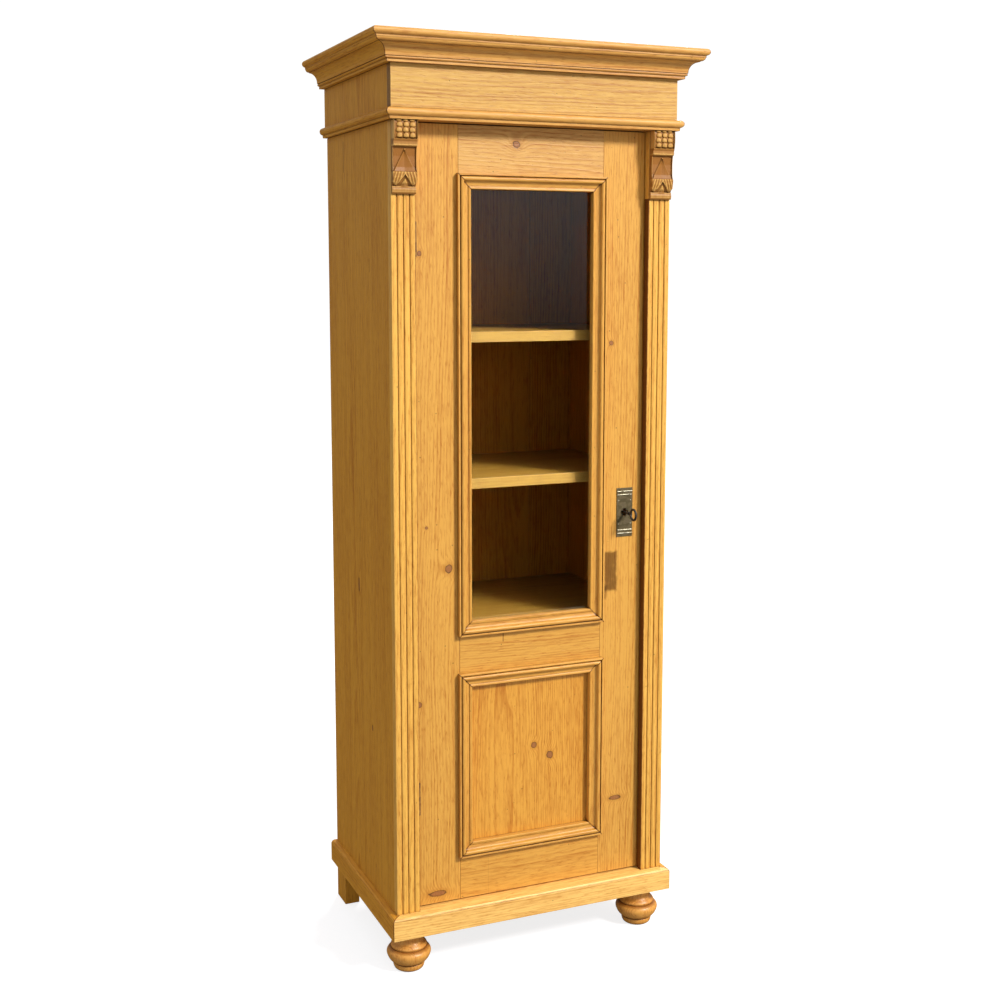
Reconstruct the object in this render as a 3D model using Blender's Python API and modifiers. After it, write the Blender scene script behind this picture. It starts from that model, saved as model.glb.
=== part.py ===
"""Single-door glazed pantry cabinet in stripped pine, modelled as its separate pieces.

Frame: metres, +Z up, the cabinet stands on z = 0 and its door faces -Y.
The origin is the middle of the footprint of the cornice.
"""

from math import cos, pi, radians, sin

import bmesh
import bpy
from mathutils import Vector

# ---------------------------------------------------------------- driving dimensions
HEIGHT = 1.950                # floor to the top of the cornice
CASE_WIDTH = 0.632            # over the side boards
CASE_DEPTH = 0.441            # back of the side boards to the face of the pilasters

GAP = 0.0003                  # between pieces that touch
CUT_PAST = 0.010              # how far a cutter runs past what it cuts
DOOR_GAP = 0.0015             # beside the door
DOOR_FOOT_GAP = 0.0036        # under the door
DOOR_HEAD_GAP = 0.0020        # over the door
REST_GAP = 0.0007             # between the closed door's back and the boards behind it

FOOT_HEIGHT = 0.090
FOOT_RADIUS = 0.0475
FOOT_SIDE_INSET = 0.006       # foot inside the plinth's side faces
FOOT_FRONT_INSET = 0.011
REAR_FOOT_WIDTH = 0.034
REAR_FOOT_DEPTH = 0.062

PLINTH_HEIGHT = 0.048
PLINTH_MEMBER = 0.075         # width of the plinth frame seen from above
PLINTH_SIDE_STEP = 0.015      # plinth outside the side boards
PLINTH_FRONT_STEP = 0.018     # plinth in front of the pilasters
PLINTH_CHAMFER = 0.0075

SIDE_THICK = 0.026
BACK_THICK = 0.010
BACK_REBATE = 0.014           # how far the back boards lie over the side boards
BACK_JOINTS = (-0.062, 0.180)  # where the back boards meet, across the cabinet
BOARD_JOINT = 0.0010
FLOOR_THICK = 0.0217
TOP_THICK = 0.022
TOP_BOARD_DROP = 0.002        # top board under the top of the side boards
SHELF_THICK = 0.022
SHELF_SETBACK = 0.014         # shelves behind the closed door
HOUSING_DEPTH = 0.008         # grooves that hold the shelves
SHELF_TOPS = {"lower": 0.738, "middle": 1.050, "upper": 1.360}

PILASTER_WIDTH = 0.051
PILASTER_THICK = 0.019        # it stands this far proud of the door
REED_COUNT = 4
REED_GROOVE = 0.0027
REED_DEPTH = 0.0026
REED_CROWN = 0.0008

BRACKET_HEIGHT = 0.1435
BRACKET_SIDE_INSET = 0.0005

ASTRAGAL_HEIGHT = 0.0235
ASTRAGAL_NOSE = 0.0125        # nose outside the frieze
ASTRAGAL_MEMBER = 0.065       # width of the astragal frame behind the frieze's face
FRIEZE_HEIGHT = 0.084
FRIEZE_THICK = 0.022
FRIEZE_SIDE_STEP = 0.005      # frieze outside the side boards
FRIEZE_FRONT_STEP = 0.0175    # frieze in front of the pilasters
CORNICE_HEIGHT = 0.060
CORNICE_PROJECTION = 0.0505
CORNICE_SEAT = 0.010          # cornice on the frieze's top edge
DUST_BOARD_THICK = 0.018
CROWN_REAR_THICK = 0.018

DOOR_THICK = 0.022
STILE_WIDTH = 0.0975
TOP_RAIL = 0.1015
MIDDLE_RAIL = 0.090
BOTTOM_RAIL = 0.098
PANEL_HEIGHT = 0.3964         # clear height between the bottom and middle rails
TENON_LENGTH = 0.030
TENON_THICK = 0.007
TENON_SHOULDER = 0.012        # at the top and bottom of each tenon
MOULDING_WIDTH = 0.031
MOULDING_LIP = 0.0045         # the part of the moulding over the door frame
MOULDING_PROUD = 0.0120
MOULDING_REACH = 0.0090       # how far the moulding goes into the opening
PANEL_THICK = 0.009
PANEL_GROOVE = 0.008
PANEL_SLACK = 0.0005          # between the panel's edge and its groove's floor
GLASS_THICK = 0.003
GLASS_SLACK = 0.0012          # between the glass's edge and the door frame
BEAD_WIDTH = 0.010
BEAD_SETBACK = 0.0005         # bead inside the door's back face

HINGE_FROM_FOOT = 0.2384      # middle of the lower hinge over the door's foot
HINGE_FROM_HEAD = 0.2305      # middle of the upper hinge under the door's head
KNUCKLE_RADIUS = 0.0035
KNUCKLE_LENGTH = 0.035        # each of the two knuckles
HINGE_PIN_RADIUS = 0.0020
HINGE_BORE_RADIUS = 0.00225
HINGE_PIN_FOOT = 0.0080       # pin's lower end under the joint of the knuckles
HINGE_PIN_HEAD = 0.0020       # pin's upper end under the top of the hinge
HINGE_LEAF_DEPTH = 0.0175     # leaf behind the knuckle
HINGE_WEB_SETBACK = 0.0020    # web between leaf and knuckle, in front of the leaf's back edge
POST_LEAF_THICK = 0.0020
POST_LEAF_LET_IN = 0.0010
DOOR_LEAF_THICK = 0.0014

LOCK_BACKSET = 0.0400         # key axis from the edge of the door
LOCK_HEIGHT = 0.8194          # key axis over the foot of the door
LOCK_PLATE_WIDTH = 0.0385
LOCK_PLATE_HEIGHT = 0.1080
LOCK_PLATE_THICK = 0.0015
PLATE_BEAD_ROWS = 2           # raised beads across each end of the plate
PLATE_BEAD_PITCH = 0.0075
PLATE_BEAD_RADIUS = 0.0013
KEYHOLE_ARM = 0.017
KEYHOLE_SLOT = 0.0064
KEYWAY = 0.018                # square hole through the stile
LOCK_CASE_LEFT = 0.030        # case beside the key axis, away from the edge of the door
LOCK_CASE_HEIGHT = 0.080
LOCK_CASE_DEPTH = 0.015
LOCK_CASE_WALL = 0.0015
BOLT_LENGTH = 0.040
BOLT_HEIGHT = 0.010
BOLT_THICK = 0.004
BOLT_OFFSET = 0.0030          # bolt behind the back of the door
BOLT_RISE = 0.0080            # bolt's lower edge over the key axis
KEY_SHANK_RADIUS = 0.0025
KEY_BIT_RADIUS = 0.0070
KEY_BIT_LENGTH = 0.0060
KEY_BIT_THICK = 0.0022
KEY_BIT_ROOT = 0.0010         # where the bit starts, under the key axis
KEY_BIT_BACK = 0.0033         # bit from the tip of the key
KEY_TIP_IN_WALL = 0.0011      # how far the key's tip sits in its hole in the back of the lock
KEY_COLLAR_RADIUS = 0.0040
KEY_COLLAR_LENGTH = 0.0040
KEY_COLLAR_PLACE = 0.0070     # collar behind the bow
KEY_BOW_RADIUS = 0.0118
KEY_BOW_WIRE = 0.0026
KEY_BOW_DISTANCE = 0.042      # middle of the bow in front of the door

DOOR_PIECES = ("door_stile", "door_rail", "door_panel", "door_glass", "glass_moulding", "panel_moulding",
               "glazing_bead", "lock_plate", "lock_case")
AXIS_MARK = 0.05

ARC_STEPS = 8
TURN_STEPS = 36
FINE_TURN_STEPS = 24
RING_SECTION_STEPS = 10

# ---------------------------------------------------------------- places that follow from them
TOTAL_DEPTH = CASE_DEPTH + FRIEZE_FRONT_STEP + CORNICE_PROJECTION
BACK = TOTAL_DEPTH / 2
PILASTER_FACE = BACK - CASE_DEPTH
DOOR_FACE = PILASTER_FACE + PILASTER_THICK
DOOR_BACK = DOOR_FACE + DOOR_THICK
CASE_HALF = CASE_WIDTH / 2
INSIDE_HALF = CASE_HALF - SIDE_THICK
OPENING_HALF = CASE_HALF - PILASTER_WIDTH
DOOR_HALF = OPENING_HALF - DOOR_GAP
INNER_FRONT = DOOR_BACK + REST_GAP

PLINTH_TOP = FOOT_HEIGHT + PLINTH_HEIGHT
PLINTH_HALF = CASE_HALF + PLINTH_SIDE_STEP
PLINTH_FRONT = PILASTER_FACE - PLINTH_FRONT_STEP
CORNICE_BOTTOM = HEIGHT - CORNICE_HEIGHT
FRIEZE_HALF = CASE_HALF + FRIEZE_SIDE_STEP
FRIEZE_FRONT = PILASTER_FACE - FRIEZE_FRONT_STEP
FRIEZE_BOTTOM = CORNICE_BOTTOM - FRIEZE_HEIGHT
ASTRAGAL_BOTTOM = FRIEZE_BOTTOM - ASTRAGAL_HEIGHT
CASE_BOTTOM = PLINTH_TOP + GAP
CASE_TOP = ASTRAGAL_BOTTOM - GAP
FLOOR_TOP = CASE_BOTTOM + FLOOR_THICK
TOP_BOARD_TOP = CASE_TOP - TOP_BOARD_DROP

DOOR_BOTTOM = PLINTH_TOP + DOOR_FOOT_GAP
DOOR_TOP = ASTRAGAL_BOTTOM - DOOR_HEAD_GAP
FRAME_HALF = DOOR_HALF - STILE_WIDTH
PANEL_OPENING_BOTTOM = DOOR_BOTTOM + BOTTOM_RAIL
PANEL_OPENING_TOP = PANEL_OPENING_BOTTOM + PANEL_HEIGHT
GLASS_OPENING_BOTTOM = PANEL_OPENING_TOP + MIDDLE_RAIL
GLASS_OPENING_TOP = DOOR_TOP - TOP_RAIL
PANE_FRONT = DOOR_FACE + MOULDING_REACH + GAP

HINGE_X = -OPENING_HALF + KNUCKLE_RADIUS + GAP
HINGE_Y = DOOR_FACE - KNUCKLE_RADIUS - GAP
HINGE_HEIGHTS = {"lower": DOOR_BOTTOM + HINGE_FROM_FOOT, "upper": DOOR_TOP - HINGE_FROM_HEAD}
LOCK_X = DOOR_HALF - LOCK_BACKSET
LOCK_Z = DOOR_BOTTOM + LOCK_HEIGHT


# ---------------------------------------------------------------- scene, collections, materials
def clear_scene():
    for obj in list(bpy.data.objects):
        bpy.data.objects.remove(obj, do_unlink=True)


def new_collection(name):
    collection = bpy.data.collections.new(name)
    bpy.context.scene.collection.children.link(collection)
    return collection


def new_material(name, colour, roughness, metallic=0.0, alpha=1.0):
    material = bpy.data.materials.new(name)
    material.use_nodes = True
    shader = material.node_tree.nodes["Principled BSDF"]
    shader.inputs["Base Color"].default_value = (*colour, 1.0)
    shader.inputs["Roughness"].default_value = roughness
    shader.inputs["Metallic"].default_value = metallic
    shader.inputs["Alpha"].default_value = alpha
    material.diffuse_color = (*colour, alpha)
    return material


clear_scene()
CABINET = new_collection("pantry_cabinet")
CUTTERS = new_collection("cutters")

PINE = new_material("waxed_pine", (0.62, 0.36, 0.11), 0.42)
PINE_SIDE = new_material("pine_board", (0.50, 0.28, 0.09), 0.50)
PINE_INSIDE = new_material("inner_pine", (0.36, 0.20, 0.07), 0.60)
CARVED = new_material("carved_wood", (0.52, 0.26, 0.08), 0.45)
GLASS = new_material("pane_glass", (0.80, 0.84, 0.82), 0.05, alpha=0.35)
BRASS = new_material("aged_brass", (0.36, 0.30, 0.18), 0.38, metallic=1.0)
IRON = new_material("old_iron", (0.10, 0.09, 0.08), 0.55, metallic=1.0)


# ---------------------------------------------------------------- modelling helpers
def keep(obj, name, material, collection=None):
    """Names the object, gives it its material and puts it in its collection."""
    obj.name = name
    obj.data.name = name
    obj.data.materials.clear()
    if material is not None:
        obj.data.materials.append(material)
    for other in list(obj.users_collection):
        other.objects.unlink(obj)
    (collection or CABINET).objects.link(obj)
    return obj


def box(name, low, high, material):
    """A squared board between two corners."""
    low, high = Vector(low), Vector(high)
    bpy.ops.mesh.primitive_cube_add(size=1.0, location=(low + high) / 2)
    obj = bpy.context.object
    obj.scale = high - low
    bpy.ops.object.transform_apply(location=False, rotation=False, scale=True)
    return keep(obj, name, material)


def member(name, outline, place, start, end, material, start_mitre=0.0, end_mitre=0.0):
    """A straight member: an outline of (across, height) points drawn out along its length.

    place(across, height, along) gives a point in space. A mitre of 1 or -1 moves each point of that
    end along the length by its own distance across.
    """
    mesh = bpy.data.meshes.new(name)
    shape = bmesh.new()
    first = [shape.verts.new(place(a, h, start + start_mitre * a)) for a, h in outline]
    face = shape.faces.new(first)
    drawn = bmesh.ops.extrude_face_region(shape, geom=[face])["geom"]
    shape.verts.ensure_lookup_table()
    far = [v for v in drawn if isinstance(v, bmesh.types.BMVert)]
    for vert in far:
        near = min(first, key=lambda f: (f.co - vert.co).length)
        a, h = outline[first.index(near)]
        vert.co = place(a, h, end + end_mitre * a)
    bmesh.ops.recalc_face_normals(shape, faces=shape.faces)
    if shape.calc_volume(signed=True) < 0:
        bmesh.ops.reverse_faces(shape, faces=shape.faces)
    shape.to_mesh(mesh)
    shape.free()
    obj = bpy.data.objects.new(name, mesh)
    CABINET.objects.link(obj)
    return keep(obj, name, material)


def rod(name, centre, radius, length, axis, material, steps=FINE_TURN_STEPS):
    """A round bar; axis is X, Y or Z, and centre is its middle."""
    turn = {"X": (0, pi / 2, 0), "Y": (pi / 2, 0, 0), "Z": (0, 0, 0)}[axis]
    bpy.ops.mesh.primitive_cylinder_add(
        vertices=steps, radius=radius, depth=length, location=centre, rotation=turn
    )
    return keep(bpy.context.object, name, material)


def turned(name, profile, place, material):
    """A turned piece: (radius, height) points from top to bottom, turned about a vertical axis."""
    mesh = bpy.data.meshes.new(name)
    points = [(r, 0.0, z) for r, z in profile]
    mesh.from_pydata(points, [(i, i + 1) for i in range(len(points) - 1)], [])
    obj = bpy.data.objects.new(name, mesh)
    CABINET.objects.link(obj)
    screw = obj.modifiers.new("turning", "SCREW")
    screw.steps = TURN_STEPS
    screw.render_steps = TURN_STEPS
    screw.use_merge_vertices = True
    screw.merge_threshold = 0.00001
    screw.use_smooth_shade = True
    obj.location = place
    return keep(obj, name, material)


def boolean(obj, cutter, operation):
    """Adds a Boolean with the cutter, which stays hidden in its own collection."""
    keep(cutter, cutter.name, None, CUTTERS)
    cutter.hide_render = True
    cutter.display_type = "WIRE"
    modifier = obj.modifiers.new(operation.lower(), "BOOLEAN")
    modifier.operation = operation
    modifier.solver = "EXACT"
    modifier.object = cutter


def cut(obj, cutter):
    boolean(obj, cutter, "DIFFERENCE")


def join(obj, piece):
    boolean(obj, piece, "UNION")


def arc(centre, radii, start, end, steps=ARC_STEPS):
    """Points on an arc or a part of an ellipse; angles in degrees."""
    points = []
    for i in range(steps + 1):
        angle = radians(start + (end - start) * i / steps)
        points.append((centre[0] + radii[0] * cos(angle), centre[1] + radii[1] * sin(angle)))
    return points


def front_place(face):
    """Across runs out of the front, the length runs along X."""
    return lambda a, h, s: Vector((s, face - a, h))


def side_place(face, sign):
    """Across runs out of the left (-1) or right (1) side, the length runs along Y."""
    return lambda a, h, s: Vector((sign * (face + a), s, h))


# ---------------------------------------------------------------- outlines
def cornice_outline():
    """Nose, fillet, ovolo, cove, bead and foot fillet, out of the frieze's face, from the top down."""
    nose = 0.0072
    cove_out, cove_in = CORNICE_PROJECTION - 0.0160, 0.0165
    cove_top, cove_foot = 0.0262, 0.0470
    bead = 0.0026
    foot = 0.0118
    depths = [(-CORNICE_SEAT, CORNICE_HEIGHT), (-CORNICE_SEAT, 0.0)]
    depths += [(x, -y) for x, y in arc((CORNICE_PROJECTION - nose, -nose), (nose, nose), 90, -80)]
    depths += [(CORNICE_PROJECTION - 0.0068, 0.0150), (CORNICE_PROJECTION - 0.0068, 0.0184)]
    depths += [(x, -y) for x, y in arc((cove_out + 0.0015, -0.0186), (0.0068, 0.0064), 0, -90, 5)]
    depths += [(cove_out, 0.0250)]
    depths += [(x, -y) for x, y in arc((cove_out, -cove_foot),
                                       (cove_out - cove_in, cove_foot - cove_top), 90, 180)]
    depths += [(cove_in, 0.0488)]
    depths += [(x, -y) for x, y in arc((0.0132, -0.0515), (bead, bead), 70, -80, 6)]
    depths += [(foot, 0.0545), (foot, CORNICE_HEIGHT)]
    return [(a, HEIGHT - depth) for a, depth in depths]


def astragal_outline():
    """A rounded nose over a small fillet, around the top of the case."""
    low = ASTRAGAL_BOTTOM
    nose = arc((0.0035, low + 0.0140), (ASTRAGAL_NOSE - 0.0035, 0.0082), -80, 90)
    return [(-ASTRAGAL_MEMBER, FRIEZE_BOTTOM - GAP), (-ASTRAGAL_MEMBER, low), (0.0050, low),
            (0.0055, low + 0.0055), *nose, (0.0, FRIEZE_BOTTOM - GAP)]


def plinth_outline():
    """A flat fascia, a fine quirk and a soft chamfer under the ledge."""
    low, high = FOOT_HEIGHT, PLINTH_TOP
    quirk = high - 0.0055
    return [(-PLINTH_MEMBER, high), (-PLINTH_MEMBER, low), (0.0, low), (0.0, quirk),
            (-0.0010, quirk + 0.0003), (-0.0010, quirk + 0.0012),
            (-0.0036, high - 0.0012), (-PLINTH_CHAMFER, high)]


def pilaster_outline():
    """Four reeds between narrow grooves, seen from above; across is along X, height is out of the face."""
    pitch = (PILASTER_WIDTH + REED_GROOVE) / REED_COUNT
    reed = pitch - REED_GROOVE
    points = [(0.0, -PILASTER_THICK)]
    for i in range(REED_COUNT):
        x = i * pitch
        points += [(x, -REED_CROWN), (x + reed * 0.12, -REED_CROWN * 0.25), (x + reed * 0.3, 0.0),
                   (x + reed * 0.7, 0.0), (x + reed * 0.88, -REED_CROWN * 0.25), (x + reed, -REED_CROWN)]
        if i < REED_COUNT - 1:
            points += [(x + reed + REED_GROOVE * 0.2, -REED_DEPTH),
                       (x + pitch - REED_GROOVE * 0.2, -REED_DEPTH)]
    points.append((PILASTER_WIDTH, -PILASTER_THICK))
    return points


def bracket_outline():
    """Side of a carved bracket: out of the pilaster, height from its top down."""
    top = CASE_TOP
    depths = [(0.0, 0.0), (0.0195, 0.0), (0.0205, 0.006), (0.0210, 0.020), (0.0195, 0.034), (0.0175, 0.0405),
              (0.0165, 0.0415), (0.0165, 0.0500), (0.0120, 0.0520), (0.0100, 0.0700), (0.0105, 0.0920),
              (0.0125, 0.1000), (0.0130, 0.1120), (0.0105, 0.1220), (0.0060, 0.1280), (0.0060, 0.1320),
              (0.0070, 0.1350), (0.0068, 0.1400), (0.0045, BRACKET_HEIGHT), (0.0, BRACKET_HEIGHT)]
    return [(a, top - depth) for a, depth in depths]


def moulding_outline():
    """Bolection moulding: inward from its outer edge, and out of the face of the door."""
    inner = MOULDING_WIDTH
    body = MOULDING_LIP + GAP
    points = [(body, -MOULDING_REACH), (body, GAP), (0.0, GAP), (0.0, MOULDING_PROUD - 0.0005),
              (0.0006, MOULDING_PROUD), (0.0036, MOULDING_PROUD), (0.0040, MOULDING_PROUD - 0.0005),
              (0.0041, 0.0088), (0.0054, 0.0088)]
    points += arc((0.0098, 0.0090), (0.0044, 0.0044), 165, 0)
    points += [(0.0142, 0.0072)]
    points += arc((0.0235, 0.0072), (0.0092, 0.0038), 185, 270, 6)
    points += [(0.0250, 0.0034), (0.0251, 0.0050), (0.0262, 0.0056), (inner - 0.0010, 0.0056),
               (inner, 0.0046), (inner, -MOULDING_REACH)]
    return points


def foot_profile():
    """Cove neck, incised ring, squat bulb, groove and small disc, from the top down."""
    neck = arc((0.0345, 0.0715), (0.0058, 0.0145), 95, 265)
    bulb_lift, bulb_half = 0.0330, 0.0225
    swell = 0.0295
    core = FOOT_RADIUS - swell
    bulb = arc((core, bulb_lift), (swell, bulb_half), 55, -55, 12)
    top = FOOT_HEIGHT - GAP
    return [(0.0, top), (0.0335, top), *neck, (0.0352, 0.0545), (0.0352, 0.0530), (0.0340, 0.0522), *bulb,
            (0.0333, 0.0140), (0.0333, 0.0132), (0.0342, 0.0124), (0.0340, 0.0100), (0.0318, 0.0060),
            (0.0285, 0.0020), (0.0262, 0.0), (0.0, 0.0)]


# ---------------------------------------------------------------- base
def make_plinth():
    outline = plinth_outline()
    half, inner = PLINTH_HALF, PLINTH_HALF - PLINTH_MEMBER
    member("plinth_front", outline, front_place(PLINTH_FRONT), -half + GAP, half - GAP, PINE,
           start_mitre=-1.0, end_mitre=1.0)
    for side, sign in (("left", -1), ("right", 1)):
        member(f"plinth_{side}", outline, side_place(half, sign), PLINTH_FRONT + GAP, BACK, PINE_SIDE,
               start_mitre=-1.0)
    box("plinth_rear", (-inner + GAP, BACK - PLINTH_MEMBER, FOOT_HEIGHT), (inner - GAP, BACK, PLINTH_TOP),
        PINE_SIDE)


def make_feet():
    for side, sign in (("left", -1), ("right", 1)):
        x = sign * (PLINTH_HALF - FOOT_RADIUS - FOOT_SIDE_INSET)
        y = PLINTH_FRONT + FOOT_RADIUS + FOOT_FRONT_INSET
        turned(f"bun_foot_{side}", foot_profile(), (x, y, 0.0), PINE)
        outer, inner = sign * CASE_HALF, sign * (CASE_HALF - REAR_FOOT_WIDTH)
        box(f"rear_foot_{side}", (min(outer, inner), BACK - REAR_FOOT_DEPTH, 0.0),
            (max(outer, inner), BACK, FOOT_HEIGHT - GAP), PINE_SIDE)


# ---------------------------------------------------------------- case
def side_board(side, sign):
    """A side board with a rebate for the back and grooves for the shelves and the top board."""
    front = DOOR_FACE + GAP
    low, high = (CASE_HALF - SIDE_THICK) * sign, CASE_HALF * sign
    board = box(f"side_board_{side}", (min(low, high), front, CASE_BOTTOM), (max(low, high), BACK, CASE_TOP),
                PINE_SIDE)
    edge = INSIDE_HALF - CUT_PAST
    rebate = INSIDE_HALF + BACK_REBATE
    cut(board, box(f"cut_rebate_{side}", (min(edge * sign, rebate * sign), BACK - BACK_THICK - GAP, 0.0),
                   (max(edge * sign, rebate * sign), BACK + CUT_PAST, HEIGHT), None))
    tops = {**SHELF_TOPS, "top": TOP_BOARD_TOP}
    for name, z in tops.items():
        thick = TOP_THICK if name == "top" else SHELF_THICK
        start = INNER_FRONT - GAP if name == "top" else DOOR_BACK + SHELF_SETBACK - GAP
        floor = INSIDE_HALF + HOUSING_DEPTH
        cut(board, box(f"cut_{name}_{side}", (min(edge * sign, floor * sign), start, z - thick - GAP),
                       (max(edge * sign, floor * sign), BACK + CUT_PAST, z + GAP), None))


def make_case():
    for side, sign in (("left", -1), ("right", 1)):
        side_board(side, sign)
        inner, outer = sign * OPENING_HALF, sign * (INSIDE_HALF - GAP)
        post = box(f"front_post_{side}", (min(inner, outer), DOOR_FACE + GAP, CASE_BOTTOM),
                   (max(inner, outer), DOOR_BACK, CASE_TOP), PINE_SIDE)
        outer = sign * CASE_HALF
        pilaster = member(f"pilaster_{side}", pilaster_outline(),
                          lambda a, h, s, start=min(inner, outer): Vector((start + a, PILASTER_FACE - h, s)),
                          CASE_BOTTOM, CASE_TOP, PINE)
        if side == "left":
            for name, z in HINGE_HEIGHTS.items():
                for piece in (post, pilaster):
                    cut(piece, hinge_recess(f"{piece.name}_{name}", z))
        width = PILASTER_WIDTH - 2 * BRACKET_SIDE_INSET
        start = min(inner, outer) + BRACKET_SIDE_INSET
        member(f"bracket_{side}", bracket_outline(), front_place(PILASTER_FACE - GAP), start, start + width,
               CARVED)
    box("floor_board", (-INSIDE_HALF + GAP, INNER_FRONT, CASE_BOTTOM),
        (INSIDE_HALF - GAP, BACK - BACK_THICK - 2 * GAP, FLOOR_TOP), PINE_INSIDE)
    reach = INSIDE_HALF + HOUSING_DEPTH - GAP
    box("case_top_board", (-reach, INNER_FRONT, TOP_BOARD_TOP - TOP_THICK),
        (reach, BACK - BACK_THICK - 2 * GAP, TOP_BOARD_TOP), PINE_INSIDE)
    for name, z in SHELF_TOPS.items():
        box(f"shelf_{name}", (-reach, DOOR_BACK + SHELF_SETBACK, z - SHELF_THICK),
            (reach, BACK - BACK_THICK - 2 * GAP, z), PINE_INSIDE)


def make_back():
    limit = INSIDE_HALF + BACK_REBATE - GAP
    edges = [-limit, *BACK_JOINTS, limit]
    for i, name in enumerate(("left", "middle", "right")):
        start = edges[i] + (BOARD_JOINT / 2 if i else 0.0)
        end = edges[i + 1] - (BOARD_JOINT / 2 if i < len(edges) - 2 else 0.0)
        box(f"back_board_{name}", (start, BACK - BACK_THICK, CASE_BOTTOM), (end, BACK, CASE_TOP), PINE_INSIDE)


# ---------------------------------------------------------------- crown
def make_crown():
    for name, outline in (("astragal", astragal_outline()), ("cornice", cornice_outline())):
        member(f"{name}_front", outline, front_place(FRIEZE_FRONT), -FRIEZE_HALF + GAP, FRIEZE_HALF - GAP,
               PINE, start_mitre=-1.0, end_mitre=1.0)
        for side, sign in (("left", -1), ("right", 1)):
            member(f"{name}_{side}", outline, side_place(FRIEZE_HALF, sign), FRIEZE_FRONT + GAP, BACK,
                   PINE_SIDE, start_mitre=-1.0)
    low, high = FRIEZE_BOTTOM, CORNICE_BOTTOM - GAP
    box("frieze_front", (-FRIEZE_HALF, FRIEZE_FRONT, low),
        (FRIEZE_HALF, FRIEZE_FRONT + FRIEZE_THICK, high), PINE)
    for side, sign in (("left", -1), ("right", 1)):
        inner, outer = sign * (FRIEZE_HALF - FRIEZE_THICK), sign * FRIEZE_HALF
        box(f"frieze_{side}", (min(inner, outer), FRIEZE_FRONT + FRIEZE_THICK + GAP, low),
            (max(inner, outer), BACK, high), PINE_SIDE)
    wide, narrow = FRIEZE_HALF - FRIEZE_THICK - GAP, FRIEZE_HALF - ASTRAGAL_MEMBER - GAP
    rear = [(-wide, high), (-wide, low), (-narrow, low), (-narrow, ASTRAGAL_BOTTOM),
            (narrow, ASTRAGAL_BOTTOM), (narrow, low), (wide, low), (wide, high)]
    member("crown_rear", rear, lambda a, h, s: Vector((a, s, h)), BACK - CROWN_REAR_THICK, BACK, PINE_SIDE)
    inside = FRIEZE_HALF - CORNICE_SEAT - GAP
    box("dust_board", (-inside, FRIEZE_FRONT + CORNICE_SEAT + GAP, CORNICE_BOTTOM),
        (inside, BACK, CORNICE_BOTTOM + DUST_BOARD_THICK), PINE_INSIDE)


# ---------------------------------------------------------------- door
def tenon_box(name, inner, outer, low, high, middle, slack):
    half = TENON_THICK / 2 + slack
    return box(name, (min(inner, outer), middle - half, low - slack),
               (max(inner, outer), middle + half, high + slack), None)


def make_door_frame():
    rails = {"top": (GLASS_OPENING_TOP, DOOR_TOP), "middle": (PANEL_OPENING_TOP, GLASS_OPENING_BOTTOM),
             "bottom": (DOOR_BOTTOM, PANEL_OPENING_BOTTOM)}
    middle = (DOOR_FACE + DOOR_BACK) / 2
    groove_front = PANE_FRONT - GAP
    groove_back = PANE_FRONT + PANEL_THICK + GAP
    stiles = {}
    for side, sign in (("hinge", -1), ("lock", 1)):
        inner, outer = sign * FRAME_HALF, sign * DOOR_HALF
        stiles[sign] = box(f"door_stile_{side}", (min(inner, outer), DOOR_FACE, DOOR_BOTTOM),
                           (max(inner, outer), DOOR_BACK, DOOR_TOP), PINE)
        groove = sign * (FRAME_HALF + PANEL_GROOVE)
        mouth = sign * (FRAME_HALF - CUT_PAST)
        cut(stiles[sign], box(f"cut_panel_groove_{side}",
                              (min(mouth, groove), groove_front, PANEL_OPENING_BOTTOM - PANEL_GROOVE),
                              (max(mouth, groove), groove_back, PANEL_OPENING_TOP + PANEL_GROOVE), None))
    for name, (low, high) in rails.items():
        rail = box(f"door_rail_{name}", (-FRAME_HALF + GAP, DOOR_FACE, low),
                   (FRAME_HALF - GAP, DOOR_BACK, high), PINE)
        for side, sign in (("left", -1), ("right", 1)):
            root, tip = sign * (FRAME_HALF - CUT_PAST), sign * (FRAME_HALF + TENON_LENGTH)
            foot, head = low + TENON_SHOULDER, high - TENON_SHOULDER
            join(rail, tenon_box(f"tenon_{name}_{side}", root, tip, foot, head, middle, 0.0))
            cut(stiles[sign], tenon_box(f"cut_mortise_{name}_{side}", root, tip + sign * GAP, foot, head,
                                        middle, GAP))
        if name != "top":
            edge = high if name == "bottom" else low
            reach = PANEL_GROOVE if name == "middle" else -PANEL_GROOVE
            past = -CUT_PAST if name == "middle" else CUT_PAST
            cut(rail, box(f"cut_panel_groove_{name}",
                          (-FRAME_HALF - CUT_PAST, groove_front, edge + min(reach, past)),
                          (FRAME_HALF + CUT_PAST, groove_back, edge + max(reach, past)), None))
    return stiles


def make_panes():
    edge = FRAME_HALF + PANEL_GROOVE - PANEL_SLACK
    lift = PANEL_GROOVE - PANEL_SLACK
    box("door_panel", (-edge, PANE_FRONT, PANEL_OPENING_BOTTOM - lift),
        (edge, PANE_FRONT + PANEL_THICK, PANEL_OPENING_TOP + lift), PINE)
    half = FRAME_HALF - GLASS_SLACK
    low, high = GLASS_OPENING_BOTTOM + GLASS_SLACK, GLASS_OPENING_TOP - GLASS_SLACK
    box("door_glass", (-half, PANE_FRONT, low), (half, PANE_FRONT + GLASS_THICK, high), GLASS)
    for side, sign in (("left", -1), ("right", 1)):
        outer, inner = sign * (FRAME_HALF - GAP), sign * (FRAME_HALF - BEAD_WIDTH)
        front = PANE_FRONT + GLASS_THICK + GAP
        box(f"glazing_bead_{side}", (min(inner, outer), front, GLASS_OPENING_BOTTOM + GAP),
            (max(inner, outer), DOOR_BACK - BEAD_SETBACK, GLASS_OPENING_TOP - GAP), PINE_INSIDE)


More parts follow.
